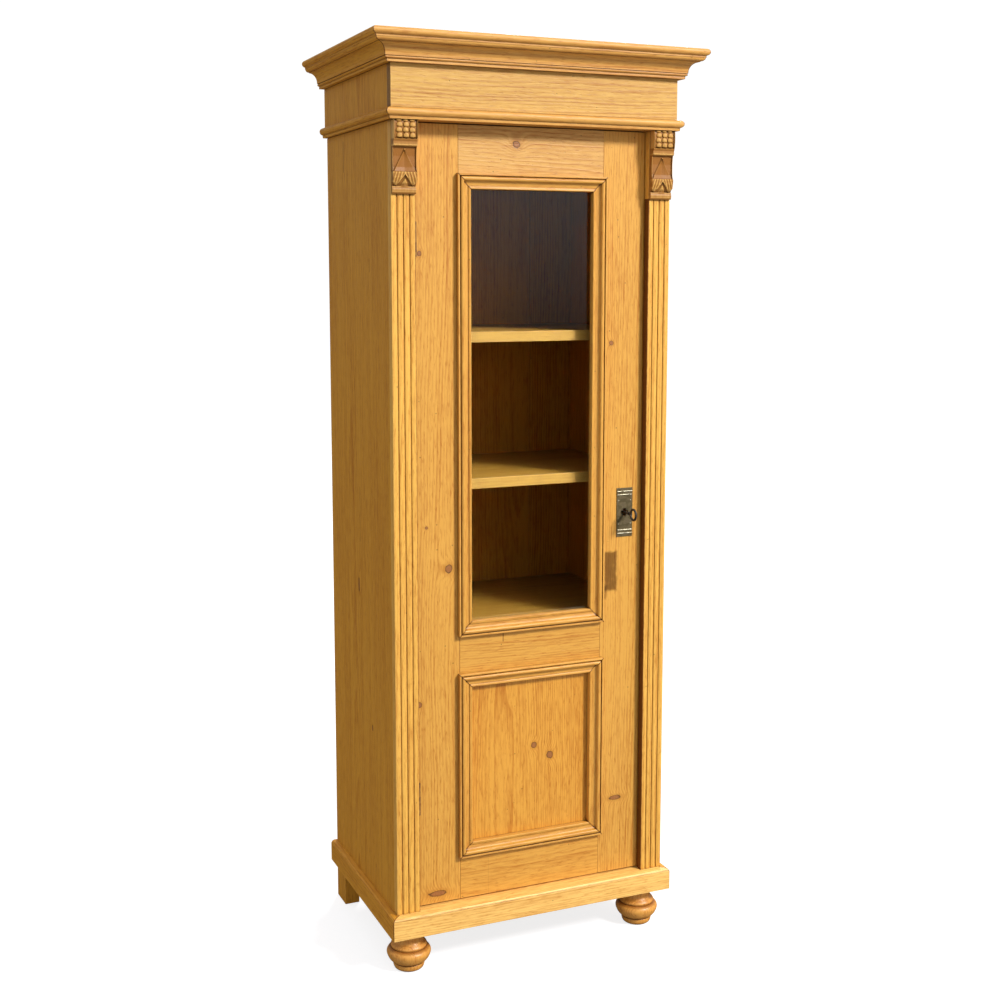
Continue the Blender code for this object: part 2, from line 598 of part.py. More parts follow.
def make_mouldings():
    outline = moulding_outline()
    for name, low, high in (("glass", GLASS_OPENING_BOTTOM, GLASS_OPENING_TOP),
                            ("panel", PANEL_OPENING_BOTTOM, PANEL_OPENING_TOP)):
        left, right = -FRAME_HALF - MOULDING_LIP, FRAME_HALF + MOULDING_LIP
        foot, head = low - MOULDING_LIP, high + MOULDING_LIP
        ends = {"start_mitre": 1.0, "end_mitre": -1.0}
        member(f"{name}_moulding_bottom", outline, lambda a, h, s, z=foot: Vector((s, DOOR_FACE - h, z + a)),
               left + GAP, right - GAP, PINE, **ends)
        member(f"{name}_moulding_top", outline, lambda a, h, s, z=head: Vector((s, DOOR_FACE - h, z - a)),
               left + GAP, right - GAP, PINE, **ends)
        member(f"{name}_moulding_left", outline, lambda a, h, s, x=left: Vector((x + a, DOOR_FACE - h, s)),
               foot + GAP, head - GAP, PINE, **ends)
        member(f"{name}_moulding_right", outline, lambda a, h, s, x=right: Vector((x - a, DOOR_FACE - h, s)),
               foot + GAP, head - GAP, PINE, **ends)


# ---------------------------------------------------------------- hinges
def hinge_recess(name, z):
    """Cuts the post leaf's place out of the post and the pilaster."""
    reach = KNUCKLE_LENGTH + GAP
    back = DOOR_FACE + HINGE_LEAF_DEPTH + 2 * GAP
    return box(f"cut_{name}", (-OPENING_HALF - POST_LEAF_LET_IN - GAP, HINGE_Y - GAP, z - reach),
               (-OPENING_HALF + CUT_PAST, back, z + reach), None)


def make_hinges(stile):
    back = DOOR_FACE + HINGE_LEAF_DEPTH
    web_back = back - HINGE_WEB_SETBACK
    for name, z in HINGE_HEIGHTS.items():
        low, high = z - KNUCKLE_LENGTH, z + KNUCKLE_LENGTH
        post_left = -OPENING_HALF - POST_LEAF_LET_IN
        post_right = post_left + POST_LEAF_THICK
        leaf = box(f"hinge_{name}_post_leaf", (post_left, DOOR_FACE + GAP, low), (post_right, back, high),
                   IRON)
        join(leaf, box(f"web_post_{name}", (post_left, HINGE_Y, low), (post_right, web_back, z - GAP), None))
        join(leaf, rod(f"knuckle_post_{name}", (HINGE_X, HINGE_Y, (low + z - GAP) / 2), KNUCKLE_RADIUS,
                       KNUCKLE_LENGTH - GAP, "Z", None))
        pin_foot, pin_head = z - HINGE_PIN_FOOT, high - HINGE_PIN_HEAD
        join(leaf, rod(f"pin_{name}", (HINGE_X, HINGE_Y, (pin_foot + pin_head) / 2), HINGE_PIN_RADIUS,
                       pin_head - pin_foot, "Z", None))
        door_left = -DOOR_HALF
        door_right = door_left + DOOR_LEAF_THICK
        leaf = box(f"hinge_{name}_door_leaf", (door_left, DOOR_FACE + GAP, low), (door_right, back, high),
                   IRON)
        join(leaf, box(f"web_door_{name}", (door_left, HINGE_Y, z + GAP), (door_right, web_back, high), None))
        join(leaf, rod(f"knuckle_door_{name}", (HINGE_X, HINGE_Y, (high + z + GAP) / 2), KNUCKLE_RADIUS,
                       KNUCKLE_LENGTH - GAP, "Z", None))
        cut(leaf, rod(f"cut_bore_{name}", (HINGE_X, HINGE_Y, z), HINGE_BORE_RADIUS,
                      2 * (KNUCKLE_LENGTH + CUT_PAST), "Z", None))
        cut(stile, box(f"cut_door_leaf_{name}", (door_left - CUT_PAST, DOOR_FACE - CUT_PAST, low - GAP),
                       (door_right + GAP, back + GAP, high + GAP), None))


# ---------------------------------------------------------------- lock
def make_lock(stile):
    cut(stile, box("cut_keyway", (LOCK_X - KEYWAY / 2, DOOR_FACE - CUT_PAST, LOCK_Z - KEYWAY / 2),
                   (LOCK_X + KEYWAY / 2, DOOR_BACK + CUT_PAST, LOCK_Z + KEYWAY / 2), None))
    plate_back = DOOR_FACE - GAP
    plate_front = plate_back - LOCK_PLATE_THICK
    plate = box("lock_plate", (LOCK_X - LOCK_PLATE_WIDTH / 2, plate_front, LOCK_Z - LOCK_PLATE_HEIGHT / 2),
                (LOCK_X + LOCK_PLATE_WIDTH / 2, plate_back, LOCK_Z + LOCK_PLATE_HEIGHT / 2), BRASS)
    for end in (-1, 1):
        for row in range(PLATE_BEAD_ROWS):
            z = LOCK_Z + end * (LOCK_PLATE_HEIGHT / 2 - PLATE_BEAD_PITCH * (row + 1))
            join(plate, rod(f"plate_bead_{end}_{row}", (LOCK_X, plate_front, z), PLATE_BEAD_RADIUS,
                            LOCK_PLATE_WIDTH - 2 * PLATE_BEAD_RADIUS, "X", None, steps=12))
    for name, wide, tall in (("upright", KEYHOLE_SLOT, KEYHOLE_ARM), ("level", KEYHOLE_ARM, KEYHOLE_SLOT)):
        cut(plate, box(f"cut_keyhole_{name}", (LOCK_X - wide / 2, plate_front - CUT_PAST, LOCK_Z - tall / 2),
                       (LOCK_X + wide / 2, plate_back + CUT_PAST, LOCK_Z + tall / 2), None))

    low_x, high_x = LOCK_X - LOCK_CASE_LEFT, DOOR_HALF - GAP
    low_y, high_y = DOOR_BACK + GAP, DOOR_BACK + LOCK_CASE_DEPTH
    low_z, high_z = LOCK_Z - LOCK_CASE_HEIGHT / 2, LOCK_Z + LOCK_CASE_HEIGHT / 2
    wall = LOCK_CASE_WALL
    case = box("lock_case", (low_x, low_y, low_z), (high_x, high_y, high_z), IRON)
    cut(case, box("cut_lock_hollow", (low_x + wall, low_y - CUT_PAST, low_z + wall),
                  (high_x - wall, high_y - wall, high_z - wall), None))
    cut(case, rod("cut_key_hole", (LOCK_X, high_y, LOCK_Z), KEY_SHANK_RADIUS + GAP,
                  LOCK_CASE_DEPTH, "Y", None))
    bolt_low = LOCK_Z + BOLT_RISE
    bolt_front = DOOR_BACK + BOLT_OFFSET
    bolt_back = bolt_front + BOLT_THICK
    cut(case, box("cut_bolt_slot", (high_x - CUT_PAST, bolt_front - GAP, bolt_low - GAP),
                  (high_x + CUT_PAST, bolt_back + GAP, bolt_low + BOLT_HEIGHT + GAP), None))
    box("lock_bolt", (high_x - BOLT_LENGTH, bolt_front, bolt_low),
        (high_x, bolt_back, bolt_low + BOLT_HEIGHT), BRASS)
    return high_y - wall


def make_key(inner_end):
    """Shank along Y, bit pointing down, and a ring bow that stands upright."""
    tip = inner_end + KEY_TIP_IN_WALL
    bow = DOOR_FACE - KEY_BOW_DISTANCE
    start = bow + KEY_BOW_RADIUS
    key = rod("key", (LOCK_X, (tip + start) / 2, LOCK_Z), KEY_SHANK_RADIUS, tip - start, "Y", IRON)
    bpy.ops.mesh.primitive_torus_add(
        major_radius=KEY_BOW_RADIUS, minor_radius=KEY_BOW_WIRE, major_segments=FINE_TURN_STEPS,
        minor_segments=RING_SECTION_STEPS, location=(LOCK_X, bow, LOCK_Z), rotation=(0, pi / 2, 0)
    )
    ring = keep(bpy.context.object, "key_ring", None)
    join(key, ring)
    join(key, rod("key_collar", (LOCK_X, start + KEY_COLLAR_PLACE, LOCK_Z), KEY_COLLAR_RADIUS,
                  KEY_COLLAR_LENGTH, "Y", None))
    bit_back = tip - KEY_BIT_BACK
    half = KEY_BIT_THICK / 2
    join(key, box("key_bit", (LOCK_X - half, bit_back - KEY_BIT_LENGTH, LOCK_Z - KEY_BIT_RADIUS),
                  (LOCK_X + half, bit_back, LOCK_Z - KEY_BIT_ROOT), None))


# ---------------------------------------------------------------- joint axes
def joint_axis(name, place, pieces, parent=None):
    """An empty on a joint's axis that carries the pieces, and their cutters, from where they stand."""
    axis = bpy.data.objects.new(name, None)
    axis.empty_display_size = AXIS_MARK
    axis.location = place
    CABINET.objects.link(axis)
    for piece in pieces:
        cutters = [modifier.object for modifier in piece.modifiers if modifier.type == "BOOLEAN"]
        for obj in (piece, *cutters):
            obj.location = obj.location - Vector(place)
            obj.parent = axis
    if parent is not None:
        axis.location = axis.location - parent.location
        axis.parent = parent
    return axis


def add_joint_axes():
    door = [obj for obj in CABINET.objects if obj.name.startswith(DOOR_PIECES) or "door_leaf" in obj.name]
    hinge = joint_axis("door_hinge_axis", (HINGE_X, HINGE_Y, LOCK_Z), door)
    joint_axis("key_axis", (LOCK_X, DOOR_FACE, LOCK_Z), [bpy.data.objects["key"]], hinge)
    joint_axis("bolt_axis", (LOCK_X, DOOR_BACK, LOCK_Z), [bpy.data.objects["lock_bolt"]], hinge)


def main():
    make_plinth()
    make_feet()
    make_case()
    make_back()
    make_crown()
    stiles = make_door_frame()
    make_panes()
    make_mouldings()
    make_hinges(stiles[-1])
    make_key(make_lock(stiles[1]))
    add_joint_axes()


main()
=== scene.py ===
"""Finishes the pine pantry cabinet: its timber, carving, glass and ironwork, and the studio round it.

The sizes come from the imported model, which is loaded as a fixed frame. Units are metres, +Z is up
and the door faces -Y. Each operator finishes one group of pieces, and main() runs them in order.
"""

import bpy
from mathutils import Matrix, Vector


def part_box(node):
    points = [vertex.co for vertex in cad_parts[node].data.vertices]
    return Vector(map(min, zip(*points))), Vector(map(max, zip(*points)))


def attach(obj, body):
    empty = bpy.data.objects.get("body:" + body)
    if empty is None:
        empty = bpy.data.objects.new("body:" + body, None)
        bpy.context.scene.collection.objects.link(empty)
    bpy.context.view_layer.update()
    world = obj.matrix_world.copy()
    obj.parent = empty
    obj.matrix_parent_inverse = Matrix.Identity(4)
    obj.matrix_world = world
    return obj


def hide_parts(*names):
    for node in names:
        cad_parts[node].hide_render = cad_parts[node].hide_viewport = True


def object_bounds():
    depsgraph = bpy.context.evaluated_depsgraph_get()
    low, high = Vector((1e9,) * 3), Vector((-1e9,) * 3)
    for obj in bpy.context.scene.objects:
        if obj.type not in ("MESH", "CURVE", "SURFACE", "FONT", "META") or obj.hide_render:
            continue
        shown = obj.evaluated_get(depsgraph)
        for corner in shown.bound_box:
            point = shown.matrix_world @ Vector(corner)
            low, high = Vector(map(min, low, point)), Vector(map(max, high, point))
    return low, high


bl_info = {
    "name": "Pine Pantry Cabinet",
    "version": (1, 0, 0),
    "blender": (4, 5, 0),
    "location": "View3D > Sidebar > Pantry",
    "description": "Finishes a glazed pine pantry cabinet and sets up a studio round it",
    "category": "Object",
}

from math import cos, pi, radians, sin, sqrt
from random import Random

import bmesh
import bpy
from mathutils import Matrix, Vector

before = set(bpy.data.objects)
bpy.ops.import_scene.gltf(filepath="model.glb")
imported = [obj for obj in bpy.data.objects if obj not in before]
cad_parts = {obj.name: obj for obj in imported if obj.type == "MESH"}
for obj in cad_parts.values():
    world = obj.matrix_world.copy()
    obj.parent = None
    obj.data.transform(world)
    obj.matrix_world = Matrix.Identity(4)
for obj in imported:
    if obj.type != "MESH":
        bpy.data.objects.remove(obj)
CAD_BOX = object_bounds()

MM = 0.001

# ---------------------------------------------------------------- places that come from the frame
CASE_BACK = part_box("back_board_left")[1].y
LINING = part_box("side_board_right")[0].x      # inner faces of the sides, from the middle

# ---------------------------------------------------------------- which board is which
TONES = {
    "door_rail_top": "rosy", "frieze_front": "pale", "plinth_front": "base",
    "pilaster_left": "reed", "pilaster_right": "reed", "door_panel": "panel",
    "shelf_lower": "shelf", "shelf_middle": "shelf", "shelf_upper": "shelf",
    "floor_board": "shelf", "cornice_front": "crown", "astragal_front": "crown",
    }
SLOT_TONES = {"waxed_pine": "front", "pine_board": "side", "inner_pine": "inside"}
UPRIGHT_GRAIN = ("frieze_left", "frieze_right")

# How dark the painted shade and old dirt in the hollows of the mouldings are, found by ambient occlusion
HOLLOW_SHADE_AND_DIRT = {"cornice_": 0.95, "astragal_": 0.95, "glass_moulding_": 0.95, "panel_moulding_": 0.95,
        "pilaster_": 0.62, "bun_foot_": 0.62}
# How much smoother the wax is on some tones, and how strongly some of them reflect
TONE_GLOSS = {"foot": 0.06, "inside": -0.12, "side": -0.10, "crown": -0.04}
TONE_SPECULAR = {"inside": 0.15, "side": 0.20}

# Knots, as (x, z, half width, half height) on a front face and (y, z, ...) on a side face
KNOTS = {
    "door_rail_top": ((-0.037, 1.745, 0.0085, 0.0075),),
    "door_stile_hinge": ((-0.251, 1.522, 0.0050, 0.0050), (-0.239, 0.959, 0.0030, 0.0030),
                         (-0.190, 0.869, 0.0080, 0.0095), (-0.257, 0.583, 0.0045, 0.0060),
                         (-0.219, 0.162, 0.0200, 0.0060)),
    "door_stile_lock": ((0.188, 1.332, 0.0045, 0.0045), (0.208, 0.311, 0.0140, 0.0050)),
    "door_panel": ((0.011, 0.457, 0.0060, 0.0065), (0.050, 0.430, 0.0070, 0.0080)),
    "cornice_front": ((-0.1425, 1.926, 0.0050, 0.0040), (-0.309, 1.919, 0.0040, 0.0040)),
    "side_board_left": ((0.055, 0.800, 0.0040, 0.0140), (-0.030, 0.500, 0.0030, 0.0060)),
    "side_board_right": ((-0.020, 1.420, 0.0090, 0.0100), (0.110, 0.640, 0.0080, 0.0080)),
}
# Stains, open cracks, a soft dark patch below the lock and painted shade beside the door, as (low, low, high,
# high, softness, strength) in the same two directions
STAINS_AND_SHADE = {
    # A soft dark patch on the lock stile below the key, with a narrow tail under it
    "door_stile_lock": ((0.176, 0.788, 0.206, 0.874, 0.007, 0.95), (0.174, 0.770, 0.182, 0.800, 0.006, 0.60)),
    "side_board_left": ((0.130, 1.700, 0.133, 1.765, 0.004, 0.8), (-0.044, 1.485, -0.042, 1.512, 0.003, 0.8),
                        (0.040, 0.900, 0.042, 1.020, 0.003, 0.5)),
    "door_rail_middle": ((-0.067, 0.700, -0.065, 0.7255, 0.0012, 0.9),),
    "door_rail_bottom": ((-0.101, 0.142, -0.1002, 0.232, 0.0012, 0.25),),
    # Painted shade on the pilasters' inner sides, in the gaps beside the door, with two boxes each so that it
    # is darker
    "pilaster_right": ((0.2640, 0.138, 0.2662, 1.640, 0.0012, 0.90),
                       (0.2640, 0.138, 0.2656, 1.640, 0.0012, 0.60)),
    "pilaster_left": ((-0.2662, 0.138, -0.2640, 1.640, 0.0012, 0.90),
                      (-0.2656, 0.138, -0.2640, 1.640, 0.0012, 0.60)),
    "astragal_front": ((-0.181, 1.8045, -0.177, 1.8065, 0.001, 0.9),),
}

PATCH_SOFTNESS = 5 * MM      # a mark with softer edges than this takes the stain tint, and any other, a crack or painted shade, takes the grime and shade tint
MARK_DEPTH = 4 * MM          # how far a mark on a front face goes into the board
FAR = 9.0                    # a limit outside the cabinet, for a mark that goes right through

# Mitred ends, as (axis along the piece, which end, axis across it, which side is the outer one)
MITRES = {
    "_moulding_top": ((0, -1, 2, 1), (0, 1, 2, 1)), "_moulding_bottom": ((0, -1, 2, -1), (0, 1, 2, -1)),
    "_moulding_left": ((2, -1, 0, -1), (2, 1, 0, -1)), "_moulding_right": ((2, -1, 0, 1), (2, 1, 0, 1)),
    "_front": ((0, -1, 1, -1), (0, 1, 1, -1)), "_left": ((1, -1, 0, -1),), "_right": ((1, -1, 0, 1),),
}
MITRED = ("glass_moulding_", "panel_moulding_", "cornice_", "astragal_", "plinth_")


# ---------------------------------------------------------------- settings
def colour(name, description, value):
    """A colour property with that default, in linear light."""
    return bpy.props.FloatVectorProperty(
        name=name, description=description, subtype="COLOR", size=3, min=0.0, max=1.0, default=value)


def length(name, description, value):
    """A length property with that default, in metres."""
    return bpy.props.FloatProperty(name=name, description=description, unit="LENGTH", default=value)


def share(name, description, value):
    """A property from 0 to 1 with that default."""
    return bpy.props.FloatProperty(
        name=name, description=description, subtype="FACTOR", min=0.0, max=1.0, default=value)


def angle(name, description, degrees):
    """An angle property with that default, given here in degrees."""
    return bpy.props.FloatProperty(
        name=name, description=description, unit="ROTATION", default=radians(degrees))


def number(name, description, value):
    """A plain number property with that default."""
    return bpy.props.FloatProperty(name=name, description=description, default=value)


class PantryTimber(bpy.types.PropertyGroup):
    """Colours and grain of the pine."""

    front: colour("Front", "Waxed pine of the door frame", (0.715, 0.360, 0.062))
    rosy: colour("Top rail", "Pinker pine of the door's top rail", (0.68, 0.375, 0.098))
    pale: colour("Frieze", "Paler pine of the frieze", (0.66, 0.375, 0.078))
    base: colour("Plinth", "Light, washed pine of the plinth", (0.93, 0.560, 0.155))
    panel: colour("Panel", "Pine of the door's panel", (0.76, 0.360, 0.050))
    reed: colour("Reeds", "Light pine of the reeded pilasters", (0.84, 0.455, 0.080))
    crown: colour("Crown", "Pine of the cornice and astragal", (0.68, 0.345, 0.072))
    side: colour("Sides", "Pine of the sides and back, deeper than the front", (0.70, 0.318, 0.028))
    foot: colour("Feet", "Orange-brown pine of the turned feet", (0.78, 0.370, 0.075))
    shelf: colour("Shelves", "Browned pine of the shelves", (0.40, 0.215, 0.036))
    inside: colour("Inside", "Dark old pine inside the cabinet", (0.52, 0.225, 0.020))
    knot: colour("Knots", "Red-brown heart of a knot", (0.30, 0.110, 0.040))
    late_wood: colour("Late wood", "What the dark rings multiply the wood's colour by", (0.66, 0.47, 0.30))
    end_grain: colour("End grain", "What a board's ends multiply its colour by", (0.55, 0.45, 0.35))
    # This tint darkens the soft dark patch below the lock plate
    stain: colour("Stain", "What a spill on the door multiplies the wood's colour by", (0.30, 0.25, 0.13))
    # This tint also darkens the painted shade in the hollows and in the gaps beside the door
    grime_and_shade: colour("Grime", "What old dirt in the corners multiplies the wood's colour by", (0.32, 0.19, 0.10))
    ring_spacing: length("Ring spacing", "Distance between two years' rings", 0.0042)
    figure: share("Figure", "How strongly the rings show", 0.55)
    edge_round: length("Rounded edges", "Width of the rounding along every board's edges", 0.0008)


class PantryCarving(bpy.types.PropertyGroup):
    """Sizes of the carved brackets."""

    scale_depth: length("Scale depth", "How deep the scales of the block are cut", 0.0036)
    leaf_depth: length("Leaf depth", "How deep the ground round the leaf is cut", 0.0030)
    flute_depth: length("Flute depth", "How deep the leaf tips are fluted", 0.0013)
    light_wood: colour("Raised wood", "Rubbed wood on what stands proud", (0.66, 0.360, 0.090))
    # Painted shade in the carving's hollows and on its sunk ground
    hollow_shade: colour("Hollow wood", "Darker wood in the hollows", (0.30, 0.110, 0.015))


class PantryHardware(bpy.types.PropertyGroup):
    """Sizes and colours of the metal and the glass."""

    screw_radius: length("Screw radius", "Radius of a screw's head", 0.0028)
    nail_radius: length("Nail radius", "Radius of a nail's head", 0.0020)
    brass: colour("Brass", "Dull brass of the lock plate", (0.27, 0.200, 0.100))
    rubbed_brass: colour("Rubbed brass", "Bright brass on the plate's beads", (0.78, 0.700, 0.510))
    iron: colour("Iron", "Dark iron of the hinges, lock and key", (0.060, 0.052, 0.046))
    hinge: colour("Hinge", "Iron of the hinges, browned with wax", (0.40, 0.210, 0.060))
    rust: colour("Rust", "Brown bloom on the iron", (0.100, 0.045, 0.022))
    glass: colour("Glass", "Tint of the pane", (0.93, 0.95, 0.93))


class PantryStudio(bpy.types.PropertyGroup):
    """The camera, the lights and the floor."""

    camera_place: bpy.props.FloatVectorProperty(
        name="Camera", description="Where the camera stands", unit="LENGTH", size=3,
        default=(-1.2273, -2.8602, 1.4874))
    camera_down: angle("Camera tilt", "How far the camera looks down", 6.9535)
    camera_turn: angle("Camera turn", "How far the camera turns right of +Y", 23.1985)
    camera_shift: number("Camera shift", "Vertical shift of the lens", -0.058)
    lens: number("Lens", "Focal length in millimetres", 50.5742)
    key_turn: angle("Key light's side", "How far the key light stands to the right of the door", 31.0)
    key_height: angle("Lights' height", "Elevation of the key light and the rear light", 34.0)
    key_distance: length("Lights' distance", "From the middle of the cabinet", 9.0)
    key_size: length("Lights' size", "Side of the square lights", 1.5)
    key_power: number("Key power", "Watts of the key light", 840.0)
    rear_turn: angle("Rear light's side", "How far the rear light stands to the right of the door", 150.0)
    rear_power: number("Rear power", "Watts of the rear light", 420.0)
    floor_shade: colour("Floor's shade", "How much of the shadows the pale floor shows", (0.36, 0.36, 0.375))
    floor_glow: number("Floor's glow", "How bright the floor is in full shadow", 0.80)
    sky: colour("Sky", "Light that comes from all round", (0.66, 0.67, 0.68))
    mirrored_sky: colour("Mirrored sky", "What the glass and the gloss mirror of it", (0.50, 0.72, 0.80))


# ---------------------------------------------------------------- building node trees
class Nodes:
    """Adds and links the nodes of one shader tree or node group."""

    def __init__(self, tree):
        self.tree = tree

    def add(self, kind, sockets=None, **settings):
        node = self.tree.nodes.new(kind)
        for name, value in settings.items():
            setattr(node, name, value)
        for name, value in (sockets or {}).items():
            self.feed(node.inputs[name], value)
        return node

    def feed(self, socket, value):
        if isinstance(value, bpy.types.NodeSocket):
            self.tree.links.new(value, socket)
        elif socket.type == "RGBA":
            socket.default_value = (*value[:3], 1.0)
        else:
            socket.default_value = value

    def math(self, operation, *values, clamp=False):
        return self.add("ShaderNodeMath", dict(enumerate(values)), operation=operation,
                        use_clamp=clamp).outputs[0]

    def vector(self, operation, *values, output=0):
        return self.add("ShaderNodeVectorMath", dict(enumerate(values)), operation=operation).outputs[output]

    def smooth(self, value, low, high):
        """0 below low and 1 above high, or the other way round where low is the higher."""
        if low < high:
            near, far = 0.0, 1.0
        else:
            low, high, near, far = high, low, 1.0, 0.0
        return self.add("ShaderNodeMapRange", {0: value, 1: low, 2: high, 3: near, 4: far},
                        interpolation_type="SMOOTHSTEP").outputs[0]

    def noise(self, place, stretch, detail=2.0, output=0):
        scaled = self.vector("MULTIPLY", place, stretch)
        sockets = {"Vector": scaled, "Scale": 1.0, "Detail": detail}
        return self.add("ShaderNodeTexNoise", sockets).outputs[output]

    def mix(self, factor, a, b, blend="MIX"):
        return self.add("ShaderNodeMix", {0: factor, 6: a, 7: b}, data_type="RGBA", blend_type=blend,
                        clamp_factor=True).outputs[2]

    def darken(self, amount, shown, tint):
        """The shown colour, multiplied by the tint as far as amount says."""
        return self.mix(amount, shown, self.mix(1.0, shown, tint, "MULTIPLY"))

    def split(self, vector):
        return self.add("ShaderNodeSeparateXYZ", {0: vector}).outputs

    def join(self, x, y, z):
        return self.add("ShaderNodeCombineXYZ", {0: x, 1: y, 2: z}).outputs[0]

    def group(self, name, sockets):
        node = self.add("ShaderNodeGroup", node_tree=bpy.data.node_groups[name])
        for label, value in sockets.items():
            self.feed(node.inputs[label], value)
        return node.outputs


def new_group(name, inputs, outputs):
    """A shader node group with those sockets, as its nodes, its inputs and its output node."""
    kinds = {"F": "NodeSocketFloat", "V": "NodeSocketVector", "C": "NodeSocketColor"}
    tree = bpy.data.node_groups.new(name, "ShaderNodeTree")
    for label, kind in inputs.items():
        tree.interface.new_socket(name=label, in_out="INPUT", socket_type=kinds[kind])
    for label, kind in outputs.items():
        tree.interface.new_socket(name=label, in_out="OUTPUT", socket_type=kinds[kind])
    nodes = Nodes(tree)
    return nodes, nodes.add("NodeGroupInput").outputs, nodes.add("NodeGroupOutput").inputs


def make_pine_grain():
    """Rings, streaks and fibres of one board. Place runs along the grain in Z."""
    n, given, result = new_group(
        "Pine grain",
        {"Place": "V", "Pith": "V", "Lean": "V", "Ring Spacing": "F", "Seed": "F", "Swell": "F",
         "Figure": "F", "Early Wood": "C", "Late Wood": "C"},
        {"Color": "C", "Height": "F", "Roughness": "F"})
    seed = given["Seed"]
    shifted = n.vector("ADD", given["Place"], n.join(seed, seed, n.math("MULTIPLY", seed, 3.1)))
    wander = n.vector("SCALE", n.vector("SUBTRACT", n.noise(shifted, (6.0, 6.0, 1.5), 1.0, 1), (0.5,) * 3))
    wander.node.inputs["Scale"].default_value = 0.022
    place, lean = n.split(given["Place"]), n.split(given["Lean"])
    pith, drift = n.split(given["Pith"]), n.split(wander)
    offsets = []
    for axis in (0, 1):
        middle = n.math("ADD", pith[axis], n.math("MULTIPLY", lean[axis], place[2]))
        offsets.append(n.math("ADD", n.math("SUBTRACT", place[axis], middle), drift[axis]))
    radius = n.math("SQRT", n.math("ADD", n.math("POWER", offsets[0], 2.0), n.math("POWER", offsets[1], 2.0)))
    rings = n.math("DIVIDE", n.math("ADD", radius, given["Swell"]), given["Ring Spacing"])
    rings = n.math("ADD", rings, n.math("MULTIPLY", n.noise(shifted, (34.0, 34.0, 4.0)), 1.6))
    phase = n.math("FRACT", rings)
    late = n.math("MULTIPLY", n.smooth(phase, 0.25, 0.88), n.smooth(phase, 1.0, 0.92))
    year = n.add("ShaderNodeTexWhiteNoise", {"W": n.math("ADD", n.math("FLOOR", rings), seed)},
                 noise_dimensions="1D").outputs["Value"]
    late = n.math("MULTIPLY", late, n.math("MULTIPLY_ADD", year, 0.7, 0.3))
    fibre = n.noise(shifted, (620.0, 620.0, 9.0), 3.0)
    streak = n.noise(shifted, (75.0, 75.0, 1.9), 3.0)
    cloud = n.noise(shifted, (11.0, 11.0, 2.2))
    amount = n.math("MULTIPLY", late, given["Figure"])
    dash = n.noise(shifted, (240.0, 240.0, 30.0), 4.0)
    for layer, strength in ((streak, 0.85), (dash, 1.50), (fibre, 0.80), (cloud, 0.70)):
        amount = n.math("MULTIPLY_ADD", n.math("SUBTRACT", layer, 0.5), strength, amount)
    pores = n.smooth(n.noise(shifted, (420.0, 420.0, 60.0), 2.0), 0.56, 0.70)
    amount = n.math("MULTIPLY_ADD", pores, 0.42, amount)
    amount = n.math("ADD", amount, 0.08, clamp=True)
    n.feed(result["Color"], n.mix(amount, given["Early Wood"], given["Late Wood"]))
    n.feed(result["Height"], n.math("MULTIPLY_ADD", pores, -0.6, n.math("MULTIPLY_ADD", late, 0.5, fibre)))
    n.feed(result["Roughness"], n.math("MULTIPLY_ADD", fibre, 0.22, 0.31))


def make_knot():
    """One knot: how it pushes the rings aside, and where its heart, its rim and its halo are."""
    n, given, result = new_group(
        "Knot", {"Place": "V", "Centre": "V", "Reach": "V", "Radius": "F"},
        {"Swell": "F", "Heart": "F", "Rim": "F", "Halo": "F"})
    away = n.vector("MULTIPLY", n.vector("SUBTRACT", given["Place"], given["Centre"]), given["Reach"])
    far = n.vector("LENGTH", away, output=1)
    rough = n.math("MULTIPLY_ADD", n.noise(given["Place"], (110.0, 110.0, 110.0), 3.0), 0.9, -0.45)
    near = n.math("ADD", far, rough)
    fade = n.math("EXPONENT", n.math("MULTIPLY", n.math("POWER", far, 2.0), -0.16))
    n.feed(result["Swell"], n.math("MULTIPLY", fade, n.math("MULTIPLY", given["Radius"], 1.5)))
    circles = n.math("SINE", n.math("MULTIPLY", near, 15.0))
    heart = n.smooth(near, 1.0, 0.75)
    n.feed(result["Heart"], n.math("MULTIPLY", heart, n.math("MULTIPLY_ADD", circles, 0.12, 0.80)))
    n.feed(result["Rim"], n.math("MULTIPLY", n.smooth(near, 0.68, 0.92), n.smooth(near, 1.15, 0.95)))
    n.feed(result["Halo"], n.smooth(near, 2.3, 0.9))


def make_worn_edge():
    """Where a square board's edges are rubbed, from its two corners."""
    n, given, result = new_group(
        "Worn edge", {"Place": "V", "Low": "V", "High": "V", "Width": "F"}, {"Worn": "F"})
    near = n.split(n.vector("MINIMUM", n.vector("SUBTRACT", given["Place"], given["Low"]),
                            n.vector("SUBTRACT", given["High"], given["Place"])))
    low = n.math("MINIMUM", near[0], near[1])
    high = n.math("MAXIMUM", near[0], near[1])
    edge = n.math("MAXIMUM", low, n.math("MINIMUM", high, near[2]))
    patchy = n.math("MULTIPLY_ADD", n.noise(given["Place"], (38.0, 38.0, 38.0)), 2.2, -0.45)
    reach = n.math("MULTIPLY", given["Width"], patchy)
    n.feed(result["Worn"], n.math("SUBTRACT", 1.0, n.math("DIVIDE", edge, n.math("MAXIMUM", reach, 1e-5)),
                                  clamp=True))


def make_stain():
    """A soft-edged stain or crack between two corners; an axis with no limits has far ones."""
    n, given, result = new_group(
        "Stain", {"Place": "V", "Low": "V", "High": "V", "Softness": "F"}, {"Stain": "F"})
    ragged = n.vector("SCALE", n.vector("SUBTRACT", n.noise(given["Place"], (90.0,) * 3, 3.0, 1), (0.5,) * 3))
    n.feed(ragged.node.inputs["Scale"], n.math("MULTIPLY", given["Softness"], 1.3))
    place = n.vector("ADD", given["Place"], ragged)
    near = n.split(n.vector("MINIMUM", n.vector("SUBTRACT", place, given["Low"]),
                            n.vector("SUBTRACT", given["High"], place)))
    inner = n.math("MINIMUM", n.math("MINIMUM", near[0], near[1]), near[2])
    depth = n.math("DIVIDE", inner, given["Softness"])
    n.feed(result["Stain"], n.smooth(depth, -0.6, 0.6))


